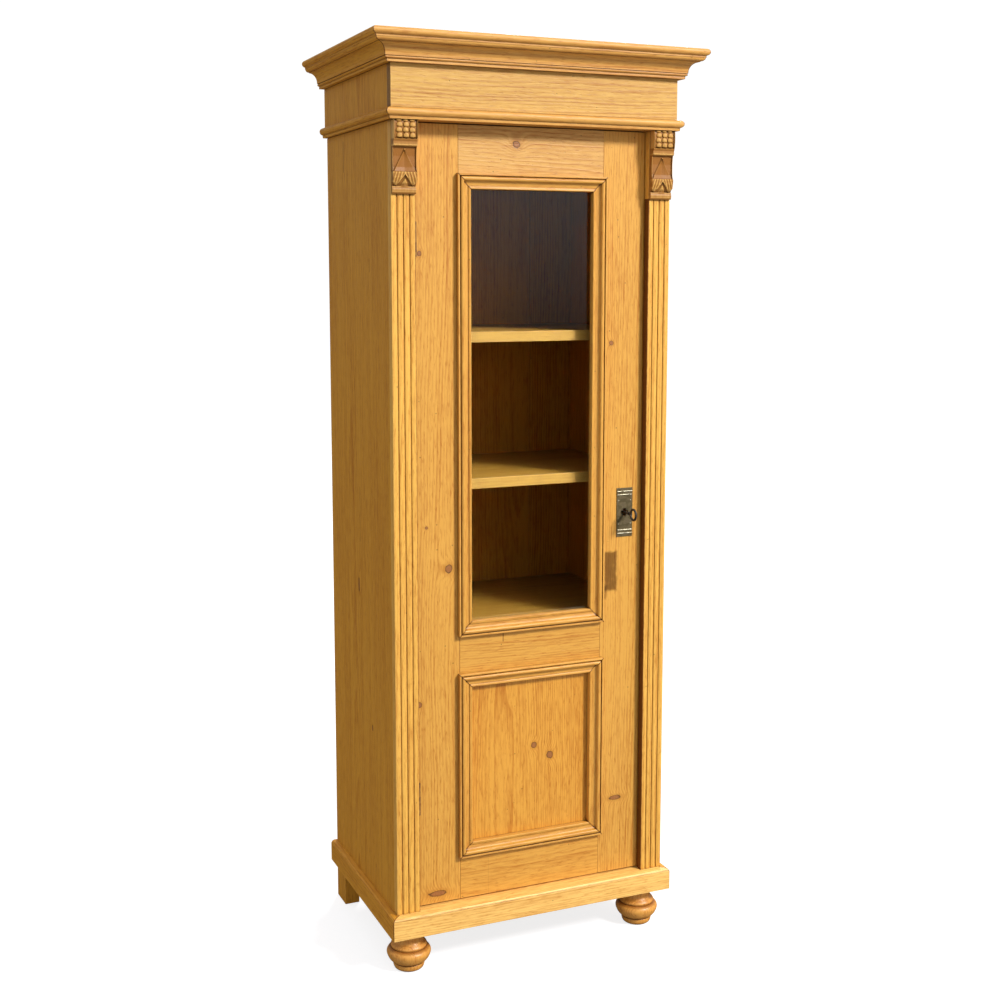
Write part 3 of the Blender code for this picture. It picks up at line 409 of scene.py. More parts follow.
def make_specks():
    """Small dark pits and dents, scattered thinly."""
    n, given, result = new_group("Specks", {"Place": "V", "Scale": "F", "Share": "F"}, {"Specks": "F"})
    cells = n.add("ShaderNodeTexVoronoi", {"Vector": given["Place"], "Scale": given["Scale"]})
    pick = n.split(cells.outputs["Color"])[0]
    chosen = n.math("LESS_THAN", pick, given["Share"])
    n.feed(result["Specks"], n.math("MULTIPLY", chosen, n.smooth(cells.outputs["Distance"], 0.11, 0.05)))


def make_tarnish():
    """Blotches of tarnish or rust on metal."""
    n, given, result = new_group("Tarnish", {"Place": "V", "Size": "F"}, {"Blotches": "F", "Grain": "F"})
    place = n.vector("DIVIDE", given["Place"], n.join(given["Size"], given["Size"], given["Size"]))
    n.feed(result["Blotches"], n.smooth(n.noise(place, (1.0, 1.0, 1.0), 5.0), 0.40, 0.66))
    n.feed(result["Grain"], n.noise(place, (9.0, 9.0, 9.0), 3.0))


# ---------------------------------------------------------------- materials
def new_material(name):
    """A material with one Principled BSDF, as its nodes and that shader."""
    material = bpy.data.materials.new(name)
    material.use_nodes = True
    material.node_tree.nodes.clear()
    nodes = Nodes(material.node_tree)
    shader = nodes.add("ShaderNodeBsdfPrincipled")
    output = nodes.add("ShaderNodeOutputMaterial")
    nodes.feed(output.inputs["Surface"], shader.outputs[0])
    return material, nodes, shader


def along_grain(place, nodes, grain):
    """Those coordinates turned so that the grain runs along Z."""
    if grain == "Z":
        return place
    x, y, z = nodes.split(place)
    return nodes.join(y, z, x) if grain == "X" else nodes.join(z, x, y)


def turned(vector, grain):
    """The same turn for a plain vector."""
    x, y, z = vector
    return {"X": (y, z, x), "Y": (z, x, y), "Z": (x, y, z)}[grain]


def grain_of(name, low, high):
    """The axis that a board's grain follows."""
    if name in UPRIGHT_GRAIN:
        return "Z"
    size = high - low
    return "XYZ"[max(range(3), key=lambda axis: size[axis])]


def facing_of(low, high):
    """The axis across a board's thickness."""
    size = high - low
    return min(range(3), key=lambda axis: size[axis])


def mitres_of(name):
    """The mitred ends of a piece, if it has any."""
    if not name.startswith(MITRED):
        return ()
    return next((ends for tail, ends in MITRES.items() if name.endswith(tail)), ())


def mitre_line(n, place, low, high, end):
    """A thin line of old dirt along one mitre."""
    along, end_sign, across, outer_sign = end
    parts = n.split(place)
    gaps = []
    for axis, sign in ((along, end_sign), (across, outer_sign)):
        corner = (low if sign < 0 else high)[axis]
        gaps.append(n.math("ABSOLUTE", n.math("SUBTRACT", parts[axis], corner)))
    apart = n.math("ABSOLUTE", n.math("SUBTRACT", gaps[0], gaps[1]))
    return n.smooth(apart, 1.8 * MM, 0.6 * MM)


def flat_axes(facing):
    """The two axes along a board's face."""
    return [axis for axis in range(3) if axis != facing]


def pith_of(low, high, facing, grain, draw):
    """The pith's place where the grain's axis is 0, and its lean, with the grain along Z."""
    pith = (low + high) / 2
    pith[facing] += draw.choice((-1, 1)) * draw.uniform(0.07, 0.16)
    for axis in flat_axes(facing):
        pith[axis] += draw.choice((-1, 1)) * draw.uniform(0.02, 0.10)
    lean = Vector((draw.uniform(-0.012, 0.012), draw.uniform(-0.02, 0.02), 0.0))
    start = Vector(turned(pith, grain))
    return start - lean * start.z, lean


def add_knots(n, place, facing, knots):
    """A knot group for each knot in the board."""
    marks = []
    for across, up, wide, tall in knots:
        centre, reach = Vector(), Vector()
        for axis, at, half in zip(flat_axes(facing), (across, up), (wide, tall)):
            centre[axis] = at
            reach[axis] = 1.0 / half
        marks.append(n.group("Knot", {"Place": place, "Centre": centre, "Reach": reach,
                                      "Radius": min(wide, tall)}))
    return marks


def show_knots(n, marks, shown, height, late):
    """The wood's colour and height with its knots: a halo, a heart and a rim that is sunk a little."""
    knot_wood = Vector(bpy.context.scene.pantry_timber.knot)
    for mark in marks:
        shown = n.mix(n.math("MULTIPLY", mark["Halo"], 0.45), shown, late)
        shown = n.mix(mark["Heart"], shown, knot_wood)
        shown = n.mix(n.math("MULTIPLY", mark["Rim"], 0.85), shown, knot_wood * 0.33)
        height = n.math("MULTIPLY_ADD", mark["Rim"], -0.8, height)
    return shown, height


def show_wear(n, place, low, high, early, shown, height):
    """The wood's colour and height with rubbed edges and small dark dents."""
    rubbed = Vector([min(1.0, value * 1.15 + 0.05) for value in early])
    worn = n.group("Worn edge", {"Place": place, "Low": low, "High": high, "Width": 5 * MM})["Worn"]
    shown = n.mix(n.math("MULTIPLY", worn, 0.28), shown, rubbed)
    specks = n.group("Specks", {"Place": place, "Scale": 55.0, "Share": 0.16})["Specks"]
    shown = n.mix(n.math("MULTIPLY", specks, 0.65), shown, early * 0.22)
    return shown, n.math("MULTIPLY_ADD", specks, -1.0, height)


def show_stains_and_shade(n, place, shown, front, facing, stains):
    """The wood with its stains, cracks, dark patch and painted shade, which stay near its front where that
    face is given.
    """
    timber = bpy.context.scene.pantry_timber
    for low_a, low_b, high_a, high_b, softness, strength in stains:
        start_corner, end_corner = Vector((-FAR,) * 3), Vector((FAR,) * 3)
        for axis, a, b in zip(flat_axes(facing), (low_a, low_b), (high_a, high_b)):
            start_corner[axis], end_corner[axis] = a, b
        if front is not None:
            end_corner.y = front + MARK_DEPTH
        stain = n.group("Stain", {"Place": place, "Low": start_corner, "High": end_corner,
                                  "Softness": softness})["Stain"]
        # A soft patch takes the stain tint; a crack or the painted shade beside the door takes the grime and
        # shade tint
        tint = timber.stain if softness > PATCH_SOFTNESS else timber.grime_and_shade
        shown = n.darken(n.math("MULTIPLY", stain, strength), shown, tint)
    return shown


def show_ends(n, place, grain, shown):
    """The wood with its end grain darkened."""
    normal = n.split(n.add("ShaderNodeTexCoord").outputs["Normal"])
    along = n.math("ABSOLUTE", normal["XYZ".index(grain)])
    return n.darken(n.smooth(along, 0.60, 0.85), shown, bpy.context.scene.pantry_timber.end_grain)


def show_shade_and_dirt(n, place, shown, strength):
    """The wood darkened in its hollows by ambient occlusion: painted shade, made patchy like old dirt."""
    # painted shade where ambient occlusion finds a hollow, broken up like old dirt
    open_air = n.add("ShaderNodeAmbientOcclusion", {"Distance": 8 * MM}, samples=8).outputs["AO"]
    patchy = n.math("MULTIPLY_ADD", n.noise(place, (55.0, 55.0, 55.0)), 0.9, 0.55)
    dirt = n.math("MULTIPLY", n.smooth(open_air, 0.90, 0.45), patchy, clamp=True)
    return n.darken(n.math("MULTIPLY", dirt, strength), shown, bpy.context.scene.pantry_timber.grime_and_shade)


def pine(name, low, high, tone, grain, seed, knots=(), stains=(), dirt=0.0, gloss=0.0):
    """Waxed pine for one board that lies between those corners."""
    timber = bpy.context.scene.pantry_timber
    draw = Random(seed)
    facing = facing_of(low, high)
    material, n, shader = new_material(f"pine_{name}")
    place = n.add("ShaderNodeTexCoord").outputs["Object"]
    early = Vector(getattr(timber, tone)) * draw.uniform(0.96, 1.04)
    late = Vector([a * b for a, b in zip(early, timber.late_wood)])
    pith, lean = pith_of(low, high, facing, grain, draw)

    marks = add_knots(n, place, facing, knots)
    swell = 0.0
    for number, mark in enumerate(marks):
        swell = n.math("ADD", swell, mark["Swell"]) if number else mark["Swell"]
    wood = n.group("Pine grain", {
        "Place": along_grain(place, n, grain), "Pith": pith, "Lean": lean, "Seed": draw.uniform(0, 40),
        "Ring Spacing": timber.ring_spacing * draw.uniform(0.8, 1.25), "Figure": timber.figure,
        "Swell": swell, "Early Wood": early, "Late Wood": late})

    shown, height = show_knots(n, marks, wood["Color"], wood["Height"], late)
    shown, height = show_wear(n, place, low, high, early, shown, height)
    marked_through = facing != 1 or name.startswith("pilaster")
    shown = show_stains_and_shade(n, place, shown, None if marked_through else low.y, facing, stains)
    shown = show_ends(n, place, grain, shown)
    if name.startswith("side_board"):
        lining = n.smooth(n.math("ABSOLUTE", n.split(place)[0]), LINING + 1.5 * MM, LINING + 0.5 * MM)
        shown = n.darken(lining, shown, [min(1.0, old / new) for old, new in zip(timber.inside, early)])
    # Painted highlight: the shelves' front edges are lightened where the light falls on them
    if name.startswith("shelf"):
        edge = n.smooth(n.split(place)[1], low.y + 1.5 * MM, low.y + 0.5 * MM)
        shown = n.mix(edge, shown, n.mix(0.35, shown, timber.pale))
    for end in mitres_of(name):
        shown = n.darken(n.math("MULTIPLY", mitre_line(n, place, low, high, end), 0.8), shown, timber.grime_and_shade)
    # Painted shade and dirt in the hollows; dirt says how strong they are
    if dirt:
        shown = show_shade_and_dirt(n, place, shown, dirt)

    n.feed(shader.inputs["Base Color"], shown)
    n.feed(shader.inputs["Roughness"], n.math("SUBTRACT", wood["Roughness"], gloss))
    bump = n.add("ShaderNodeBump", {"Height": height, "Strength": 0.50, "Distance": 0.0005})
    n.feed(shader.inputs["Normal"], bump.outputs[0])
    shader.inputs["Specular IOR Level"].default_value = TONE_SPECULAR.get(tone, 0.42)
    return material


def finish_boards(kinds):
    """Gives each node whose name starts with one of those words its own pine."""
    names = [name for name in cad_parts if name.startswith(kinds)]
    if not names:
        raise RuntimeError(f"the frame has no board whose name starts with {kinds}")
    for name in names:
        low, high = (Vector(corner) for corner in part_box(name))
        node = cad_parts[name]
        tone = TONES.get(name) or SLOT_TONES[node.data.materials[0].name.split(".")[0]]
        seed = sum((place + 1) * ord(letter) for place, letter in enumerate(name))
        # how strong the painted shade and dirt in this board's hollows are
        dirt = next((strength for kind, strength in HOLLOW_SHADE_AND_DIRT.items() if name.startswith(kind)), 0.0)
        dress(node, pine(name, low, high, tone, grain_of(name, low, high), seed, KNOTS.get(name, ()),
                         STAINS_AND_SHADE.get(name, ()), dirt, TONE_GLOSS.get(tone, 0.0)))


def dress(node, material, rounding=None):
    """Puts a material and the soft shading on a node of the frame."""
    timber = bpy.context.scene.pantry_timber
    for place in range(len(node.material_slots)):
        node.material_slots[place].material = material
    shading = node.modifiers.new("Soft shading", "NODES")
    shading.node_group = bpy.data.node_groups["Soft shading"]
    round_edges(node, timber.edge_round if rounding is None else rounding)


def round_edges(piece, width):
    """Rounds a piece's sharp edges with a small bevel."""
    bevel = piece.modifiers.new("Rounded edges", "BEVEL")
    bevel.width = width
    bevel.segments = 2
    bevel.limit_method = "ANGLE"
    bevel.angle_limit = radians(38)
    bevel.harden_normals = True


def make_soft_shading():
    """Joins a node's faces and shades its curves smooth, with its sharp edges kept."""
    tree = bpy.data.node_groups.new("Soft shading", "GeometryNodeTree")
    tree.interface.new_socket(name="Geometry", in_out="INPUT", socket_type="NodeSocketGeometry")
    tree.interface.new_socket(name="Geometry", in_out="OUTPUT", socket_type="NodeSocketGeometry")
    n = Nodes(tree)
    source, end = n.add("NodeGroupInput"), n.add("NodeGroupOutput")
    joined = n.add("GeometryNodeMergeByDistance", {"Geometry": source.outputs[0], "Distance": 1e-5})
    plain = n.add("GeometryNodeRemoveAttribute", {"Geometry": joined.outputs[0], "Name": "custom_normal"})
    smooth = n.add("GeometryNodeSetShadeSmooth", {"Geometry": plain.outputs[0], "Shade Smooth": True},
                   domain="FACE")
    angle = n.add("GeometryNodeInputMeshEdgeAngle").outputs["Unsigned Angle"]
    gentle = n.add("FunctionNodeCompare", {"A": angle, "B": radians(32)}, operation="LESS_THAN").outputs[0]
    edges = n.add("GeometryNodeSetShadeSmooth", {"Geometry": smooth.outputs[0], "Shade Smooth": gentle},
                  domain="EDGE")
    n.feed(end.inputs[0], edges.outputs[0])


# ---------------------------------------------------------------- mesh helpers
def new_piece(name, mesh_maker, body, material, replaced=()):
    """A new object from a bmesh that mesh_maker fills, riding on a body."""
    mesh = bpy.data.meshes.new(name)
    shape = bmesh.new()
    mesh_maker(shape)
    bmesh.ops.recalc_face_normals(shape, faces=shape.faces)
    shape.to_mesh(mesh)
    shape.free()
    if not mesh.polygons:
        raise RuntimeError(f"{name} came out with no faces")
    piece = bpy.data.objects.new(name, mesh)
    bpy.context.scene.collection.objects.link(piece)
    piece.data.materials.append(material)
    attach(piece, body)
    if replaced:
        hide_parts(*replaced)
    return piece


def turn_to(normal, twist=0.0):
    """A rotation that takes +Z to the normal, after a twist about it."""
    return Vector(normal).to_track_quat("Z", "Y").to_matrix().to_4x4() @ Matrix.Rotation(twist, 4, "Z")


def bridge(shape, loops, steps, whole):
    """Faces between each loop of vertices and the next, and a cap on the first and the last."""
    for below, above in zip(loops, loops[1:]):
        for k in range(steps):
            after = (k + 1) % len(below)
            shape.faces.new((below[k], below[after], above[after], above[k]))
    shape.faces.new(list(reversed(loops[0])) if whole else loops[0])
    shape.faces.new(loops[-1])


def add_ring_stack(shape, rings, steps, matrix):
    """A turned solid from (radius, height) rings, closed at both ends."""
    loops = []
    for radius, height in rings:
        turns = [2 * pi * k / steps for k in range(steps)]
        places = [Vector((radius * cos(turn), radius * sin(turn), height)) for turn in turns]
        loops.append([shape.verts.new(matrix @ place) for place in places])
    bridge(shape, loops, steps, True)


def add_screw(shape, centre, normal, radius, twist):
    """A countersunk screw head: two domed halves on each side of its slot, on a thin disc."""
    matrix = Matrix.Translation(centre) @ turn_to(normal, twist)
    half_slot, rise, rim, steps = 0.16 * radius, 0.22 * radius, 0.03 * radius, 12
    add_ring_stack(shape, ((radius, -0.10 * radius), (radius, rim)), 2 * steps, matrix)
    for side in (1, -1):
        loops = []
        for shrink, height in ((1.0, rim), (0.97, 0.6 * rise), (0.80, rise)):
            reach = radius * shrink
            first = half_slot / reach
            turns = [first + (pi - 2 * first) * k / steps for k in range(steps + 1)]
            places = [Vector((reach * cos(turn), side * reach * sin(turn), height)) for turn in turns]
            loops.append([shape.verts.new(matrix @ place) for place in places])
        bridge(shape, loops, steps + 1, False)


def add_nail(shape, centre, normal, radius):
    """A flattened, slightly domed nail head."""
    matrix = Matrix.Translation(centre) @ turn_to(normal)
    add_ring_stack(shape, ((radius, -0.2 * radius), (radius, 0.10 * radius), (0.75 * radius, 0.24 * radius),
                           (0.30 * radius, 0.30 * radius)), 14, matrix)


def add_bar(shape, low, high, chamfer):
    """A bar between two corners, with all its edges rounded."""
    made = bmesh.ops.create_cube(shape, size=1.0)["verts"]
    low, high = Vector(low), Vector(high)
    for vert in made:
        vert.co = Vector([a + (b - a) * (c + 0.5) for a, b, c in zip(low, high, vert.co)])
    edges = {edge for vert in made for edge in vert.link_edges}
    bmesh.ops.bevel(shape, geom=list(edges), offset=chamfer, segments=2, affect="EDGES")


# ---------------------------------------------------------------- metal and glass
def metal(name, base, bloom, roughness, size, metallic=0.9):
    """Old metal with blotches of tarnish."""
    material, n, shader = new_material(name)
    place = n.add("ShaderNodeTexCoord").outputs["Object"]
    tarnish = n.group("Tarnish", {"Place": place, "Size": size})
    shown = n.mix(tarnish["Blotches"], base, bloom)
    n.feed(shader.inputs["Base Color"], shown)
    n.feed(shader.inputs["Roughness"], n.math("MULTIPLY_ADD", tarnish["Blotches"], 0.25,
                                              n.math("MULTIPLY_ADD", tarnish["Grain"], 0.2, roughness)))
    n.feed(shader.inputs["Metallic"], n.math("MULTIPLY_ADD", tarnish["Blotches"], -0.45, metallic))
    bump = n.add("ShaderNodeBump", {"Height": tarnish["Grain"], "Strength": 0.3, "Distance": 0.0003})
    n.feed(shader.inputs["Normal"], bump.outputs[0])
    return material


def plate_brass():
    """Brass of the lock plate: dull on the flat, bright on the beads, with painted shade round the keyhole.
    """
    hardware = bpy.context.scene.pantry_hardware
    low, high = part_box("lock_plate")
    material = metal("lock_plate_brass", hardware.brass, Vector(hardware.brass) * 0.55, 0.30, 0.009, 0.85)
    n = Nodes(material.node_tree)
    shader = material.node_tree.nodes["Principled BSDF"]
    dull = shader.inputs["Base Color"].links[0].from_socket
    place = n.add("ShaderNodeTexCoord").outputs["Object"]
    proud = n.smooth(n.split(place)[1], low.y + 0.9 * MM, low.y + 0.2 * MM)
    patchy = n.smooth(n.noise(place, (300.0, 300.0, 300.0)), 0.25, 0.6)
    shown = n.mix(n.math("MULTIPLY", proud, patchy), dull, hardware.rubbed_brass)
    # Painted shade: a dark round patch over the keyhole
    middle = (low + high) / 2
    flat = n.vector("MULTIPLY", n.vector("SUBTRACT", place, middle), (1.0, 0.0, 1.0))
    keyhole = n.smooth(n.vector("LENGTH", flat, output=1), 12 * MM, 5 * MM)
    shown = n.mix(keyhole, shown, Vector(hardware.brass) * 0.15)
    n.feed(shader.inputs["Base Color"], shown)
    return material


def pane():
    """Old drawn glass: clear, very slightly wavy, and open to light from lamps."""
    hardware = bpy.context.scene.pantry_hardware
    material, n, shader = new_material("old_glass")
    shader.inputs["Base Color"].default_value = (*hardware.glass, 1.0)
    shader.inputs["Transmission Weight"].default_value = 1.0
    shader.inputs["Metallic"].default_value = 0.0
    shader.inputs["Roughness"].default_value = 0.0
    shader.inputs["IOR"].default_value = 1.5
    place = n.add("ShaderNodeTexCoord").outputs["Object"]
    waves = n.noise(place, (14.0, 1.0, 5.0), 1.0)
    bump = n.add("ShaderNodeBump", {"Height": waves, "Strength": 0.15, "Distance": 0.002})
    n.feed(shader.inputs["Normal"], bump.outputs[0])
    ray = n.add("ShaderNodeLightPath")
    clear = n.add("ShaderNodeBsdfTransparent", {"Color": hardware.glass})
    both = n.add("ShaderNodeMixShader", {0: ray.outputs["Is Shadow Ray"], 1: shader.outputs[0],
                                         2: clear.outputs[0]})
    n.feed(material.node_tree.nodes["Material Output"].inputs["Surface"], both.outputs[0])
    return material


# ---------------------------------------------------------------- carving
# The bracket's outline as (distance down from the top, distance out from the post), in millimetres
BRACKET_OUTLINE = ((0.0, 19.5), (6.0, 20.5), (20.0, 21.0), (34.0, 19.5), (40.5, 17.5), (41.5, 16.5),
                   (50.0, 16.5), (52.0, 12.0), (70.0, 10.0), (92.0, 10.5), (100.0, 12.5), (112.0, 13.0),
                   (122.0, 10.5), (128.0, 6.0), (132.0, 6.0), (135.0, 7.0), (140.0, 6.8), (143.5, 4.5))
# Where its scaled block, its leaf and its leaf's tips lie, down from the top, in millimetres
BLOCK_END, LEAF_START, LEAF_END, TIPS_END = 39.0, 52.5, 100.5, 129.5


def ramp(value, low, high):
    """A smooth step from 0 at low to 1 at high."""
    t = min(1.0, max(0.0, (value - low) / (high - low)))
    return t * t * (3 - 2 * t)


def outline_at(drop):
    """How far the bracket's outline stands out at that drop, both in millimetres."""
    for (start, out), (end, after) in zip(BRACKET_OUTLINE, BRACKET_OUTLINE[1:]):
        if drop <= end:
            return out + (after - out) * (drop - start) / (end - start)
    return BRACKET_OUTLINE[-1][1]


def scale_cut(across, drop):
    """How much of the scales' depth is cut away: none on top of a scale and all of it between them."""
    best = 0.0
    for row in range(4):
        for column in (-1, 0, 1):
            dx = (across - column * 13.6 - 1.2 * (row % 2)) / 6.4
            dy = drop - (1.0 + row * 10.4)
            dy /= 7.8 if dy < 0 else 3.6
            best = max(best, sqrt(max(0.0, 1.0 - dx * dx - dy * dy)))
    return 1.0 - best


def leaf_cut(aside, drop, leaf_depth):
    """How deep the leaf is cut: facets that fall to its rib, on a sunk ground with a stem."""
    edge = (drop - 58.0) * 0.53
    beyond = aside - edge
    if beyond <= 0.0:
        return 0.2 - 0.75 * leaf_depth * beyond / max(edge, 1.0)
    stem = ramp(2.6, aside, aside + 1.4) * ramp(drop, 54.0, 58.0) * ramp(76.0, drop - 2, drop + 2)
    return leaf_depth * ramp(beyond, 0.0, 1.3) * (1.0 - 0.9 * stem)


def tip_rise(aside, drop, leaf_depth, flute_depth):
    """How far the leaf's fluted tips, and the small boss between them, stand out."""
    lobe_end = min(107.0 + 1.25 * aside, 127.5 - 0.10 * max(0.0, aside - 17.0) ** 2)
    in_lobe = ramp(lobe_end, drop - 0.5, drop + 0.7)
    fan = aside - (drop - 100.0) * 0.30
    flute = 0.5 + 0.5 * cos(2 * pi * (fan + 0.8) / 6.2)
    leaf = 1.3 + flute_depth * (flute - 0.6)
    boss = ramp((drop - 112.0) * 0.55, aside - 0.5, aside + 1.5) * ramp(129.0, drop - 1, drop + 1)
    ground = leaf_depth * (0.9 * boss * (1 - aside / 14) - 0.8 * ramp(TIPS_END, drop, drop + 1.5))
    return in_lobe * leaf + (1.0 - in_lobe) * ground


def bracket_face(across, drop, half, carving):
    """How far the carved face stands out, in millimetres, across from the middle and down from the top."""
    out = outline_at(drop)
    aside = abs(across)
    leaf_depth = carving.leaf_depth / MM
    if drop < BLOCK_END:
        ground = ramp(24.0, aside - 0.5, aside + 0.5) * ramp(37.0, drop - 0.5, drop + 0.5)
        return out - carving.scale_depth / MM * ground * scale_cut(across, drop)
    if LEAF_START < drop <= LEAF_END:
        return out - ramp(half - 1.2, aside - 0.4, aside + 0.4) * leaf_cut(aside, drop, leaf_depth)
    if LEAF_END < drop <= TIPS_END:
        return out + tip_rise(aside, drop, leaf_depth, carving.flute_depth / MM)
    return out


def carve_bracket(shape, side, carving):
    """The bracket as a closed solid whose carved front notes how proud each point stands."""
    low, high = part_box(f"bracket_{side}")
    middle, half = (low.x + high.x) / 2 / MM, (high.x - low.x) / 2 / MM
    height = (high.z - low.z) / MM
    columns, rows, near_by = 64, 190, 4
    drops = [height * k / rows for k in range(rows + 1)]
    acrosses = [-half + 2 * half * k / columns for k in range(columns + 1)]
    face = [[max(1.0, bracket_face(across, drop, half, carving)) for across in acrosses] for drop in drops]
    relief = shape.verts.layers.float.new("Relief")
    grid = []
    for i, drop in enumerate(drops):
        line = []
        for j, across in enumerate(acrosses):
            vert = shape.verts.new(((middle + across) * MM, high.y - face[i][j] * MM, high.z - drop * MM))
            near = [face[a][b] for a in range(max(0, i - near_by), min(rows, i + near_by) + 1, 2)
                    for b in range(max(0, j - near_by), min(columns, j + near_by) + 1, 2)]
            vert[relief] = face[i][j] - sum(near) / len(near)
            line.append(vert)
        grid.append(line)
    for a, b in zip(grid, grid[1:]):
        for j in range(columns):
            shape.faces.new((a[j], b[j], b[j + 1], a[j + 1]))
    back = [[shape.verts.new((line[j].co.x, high.y, line[j].co.z)) for j in (0, columns)] for line in grid]
    for i in range(rows):
        shape.faces.new((grid[i][0], back[i][0], back[i + 1][0], grid[i + 1][0]))
        shape.faces.new((grid[i][columns], grid[i + 1][columns], back[i + 1][1], back[i][1]))
        shape.faces.new((back[i][0], back[i][1], back[i + 1][1], back[i + 1][0]))
    shape.faces.new([*grid[0], back[0][1], back[0][0]])
    shape.faces.new([*reversed(grid[-1]), back[-1][0], back[-1][1]])


def carved_pine(side):
    """Pine that is lighter where the carving stands proud, with painted shade in its hollows and on its sunk
    ground.
    """
    carving = bpy.context.scene.pantry_carving
    material, n, shader = new_material(f"carved_pine_{side}")
    place = n.add("ShaderNodeTexCoord").outputs["Object"]
    relief = n.add("ShaderNodeAttribute", attribute_name="Relief").outputs["Fac"]
    low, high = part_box(f"bracket_{side}")
    drop = n.math("SUBTRACT", high.z, n.split(place)[2])
    field = n.math("MULTIPLY", n.smooth(drop, (LEAF_START - 1.5) * MM, (LEAF_START + 1.5) * MM),
                   n.smooth(drop, (LEAF_END + 2.0) * MM, LEAF_END * MM))
    border = n.math("MULTIPLY", n.smooth(drop, (BLOCK_END - 2.0) * MM, (BLOCK_END - 0.5) * MM),
                    n.smooth(drop, (BLOCK_END + 3.5) * MM, (BLOCK_END + 2.5) * MM))
    # Painted shade: the hollows, the sunk ground round the leaf and the groove under the block are darkened
    proud = n.math("ADD", relief, n.math("MULTIPLY", n.math("ADD", field, border), -1.5))
    patchy = n.math("MULTIPLY_ADD", n.noise(place, (240.0, 240.0, 60.0)), 0.8, -0.4)
    amount = n.smooth(n.math("ADD", proud, patchy), -0.35, 1.00)
    wood = n.group("Pine grain", {
        "Place": place, "Pith": (low.x - 0.03, low.y + 0.06, 0.0), "Lean": (0.01, 0.02, 0.0), "Seed": 3.0,
        "Ring Spacing": 0.0035, "Figure": 0.35, "Swell": 0.0, "Early Wood": carving.light_wood,
        "Late Wood": Vector(carving.light_wood) * 0.75})
    shown = n.mix(amount, n.mix(0.85, wood["Color"], carving.hollow_shade), wood["Color"])
    # Painted shade from ambient occlusion in the carving's corners
    open_air = n.add("ShaderNodeAmbientOcclusion", {"Distance": 0.006}, samples=6).outputs["AO"]
    # Painted shade on the sunk ground, broken up by gouge marks
    gouges = n.smooth(n.noise(place, (420.0, 420.0, 260.0), 3.0), 0.42, 0.62)
    sunk = n.math("MULTIPLY", field, n.smooth(relief, 0.8, 0.1))
    sunk_ground_shade = n.math("MULTIPLY", sunk, n.math("MULTIPLY_ADD", gouges, 0.25, 0.60))
    shown = n.mix(sunk_ground_shade, shown, carving.hollow_shade)
    shown = n.mix(n.smooth(open_air, 0.85, 0.40), shown, Vector(carving.hollow_shade) * 0.25)
    n.feed(shader.inputs["Base Color"], shown)
    n.feed(shader.inputs["Roughness"], n.math("ADD", wood["Roughness"], 0.04))
    shader.inputs["Specular IOR Level"].default_value = 0.25
    bump = n.add("ShaderNodeBump", {"Height": wood["Height"], "Strength": 0.3, "Distance": 0.0004})
    n.feed(shader.inputs["Normal"], bump.outputs[0])
    return material


# ---------------------------------------------------------------- turned feet
# The bun foot's radius and height, in millimetres, from the floor up to the plinth
FOOT_PROFILE = ((26.5, 0.0), (31.0, 3.0), (33.5, 9.0), (33.5, 14.0), (32.0, 15.5), (36.5, 18.0), (43.0, 25.0),
                (47.5, 36.0), (46.0, 43.0), (41.0, 48.0), (37.5, 49.5), (38.5, 51.0), (39.0, 54.0),
                (36.0, 58.0), (31.0, 64.0), (30.0, 72.0), (33.0, 80.0), (37.5, 86.0), (38.0, 89.7))


def smooth_profile(points, steps):
    """More points on a soft curve through a turned profile's own points."""
    ends = [points[0], *points, points[-1]]
    curve = []
    for before, start, end, after in zip(ends, ends[1:], ends[2:], ends[3:]):
        for k in range(steps):
            t = k / steps
            weights = (-t + 2 * t ** 2 - t ** 3, 2 - 5 * t ** 2 + 3 * t ** 3, t + 4 * t ** 2 - 3 * t ** 3,
                       t ** 3 - t ** 2)
            curve.append(tuple(0.5 * sum(weight * value for weight, value in zip(weights, values))
                               for values in zip(before, start, end, after)))
    return [*curve, points[-1]]


# ---------------------------------------------------------------- operators
class PANTRY_OT_effects(bpy.types.Operator):
    """Build the node groups that the finishes share"""

    bl_idname = "pantry.effects"
    bl_label = "Shared effects"

    def execute(self, context):
        for make in (make_pine_grain, make_knot, make_worn_edge, make_stain, make_specks, make_tarnish,
                     make_soft_shading):
            make()
        return {"FINISHED"}


class PANTRY_OT_case(bpy.types.Operator):
    """Finish the boards of the case, inside and out"""

    bl_idname = "pantry.case"
    bl_label = "Case boards"

    def execute(self, context):
        finish_boards(("plinth_", "rear_foot_", "side_board_", "front_post_", "floor_board", "case_top_board",
                       "shelf_", "back_board_", "frieze_", "crown_rear", "dust_board"))
        return {"FINISHED"}


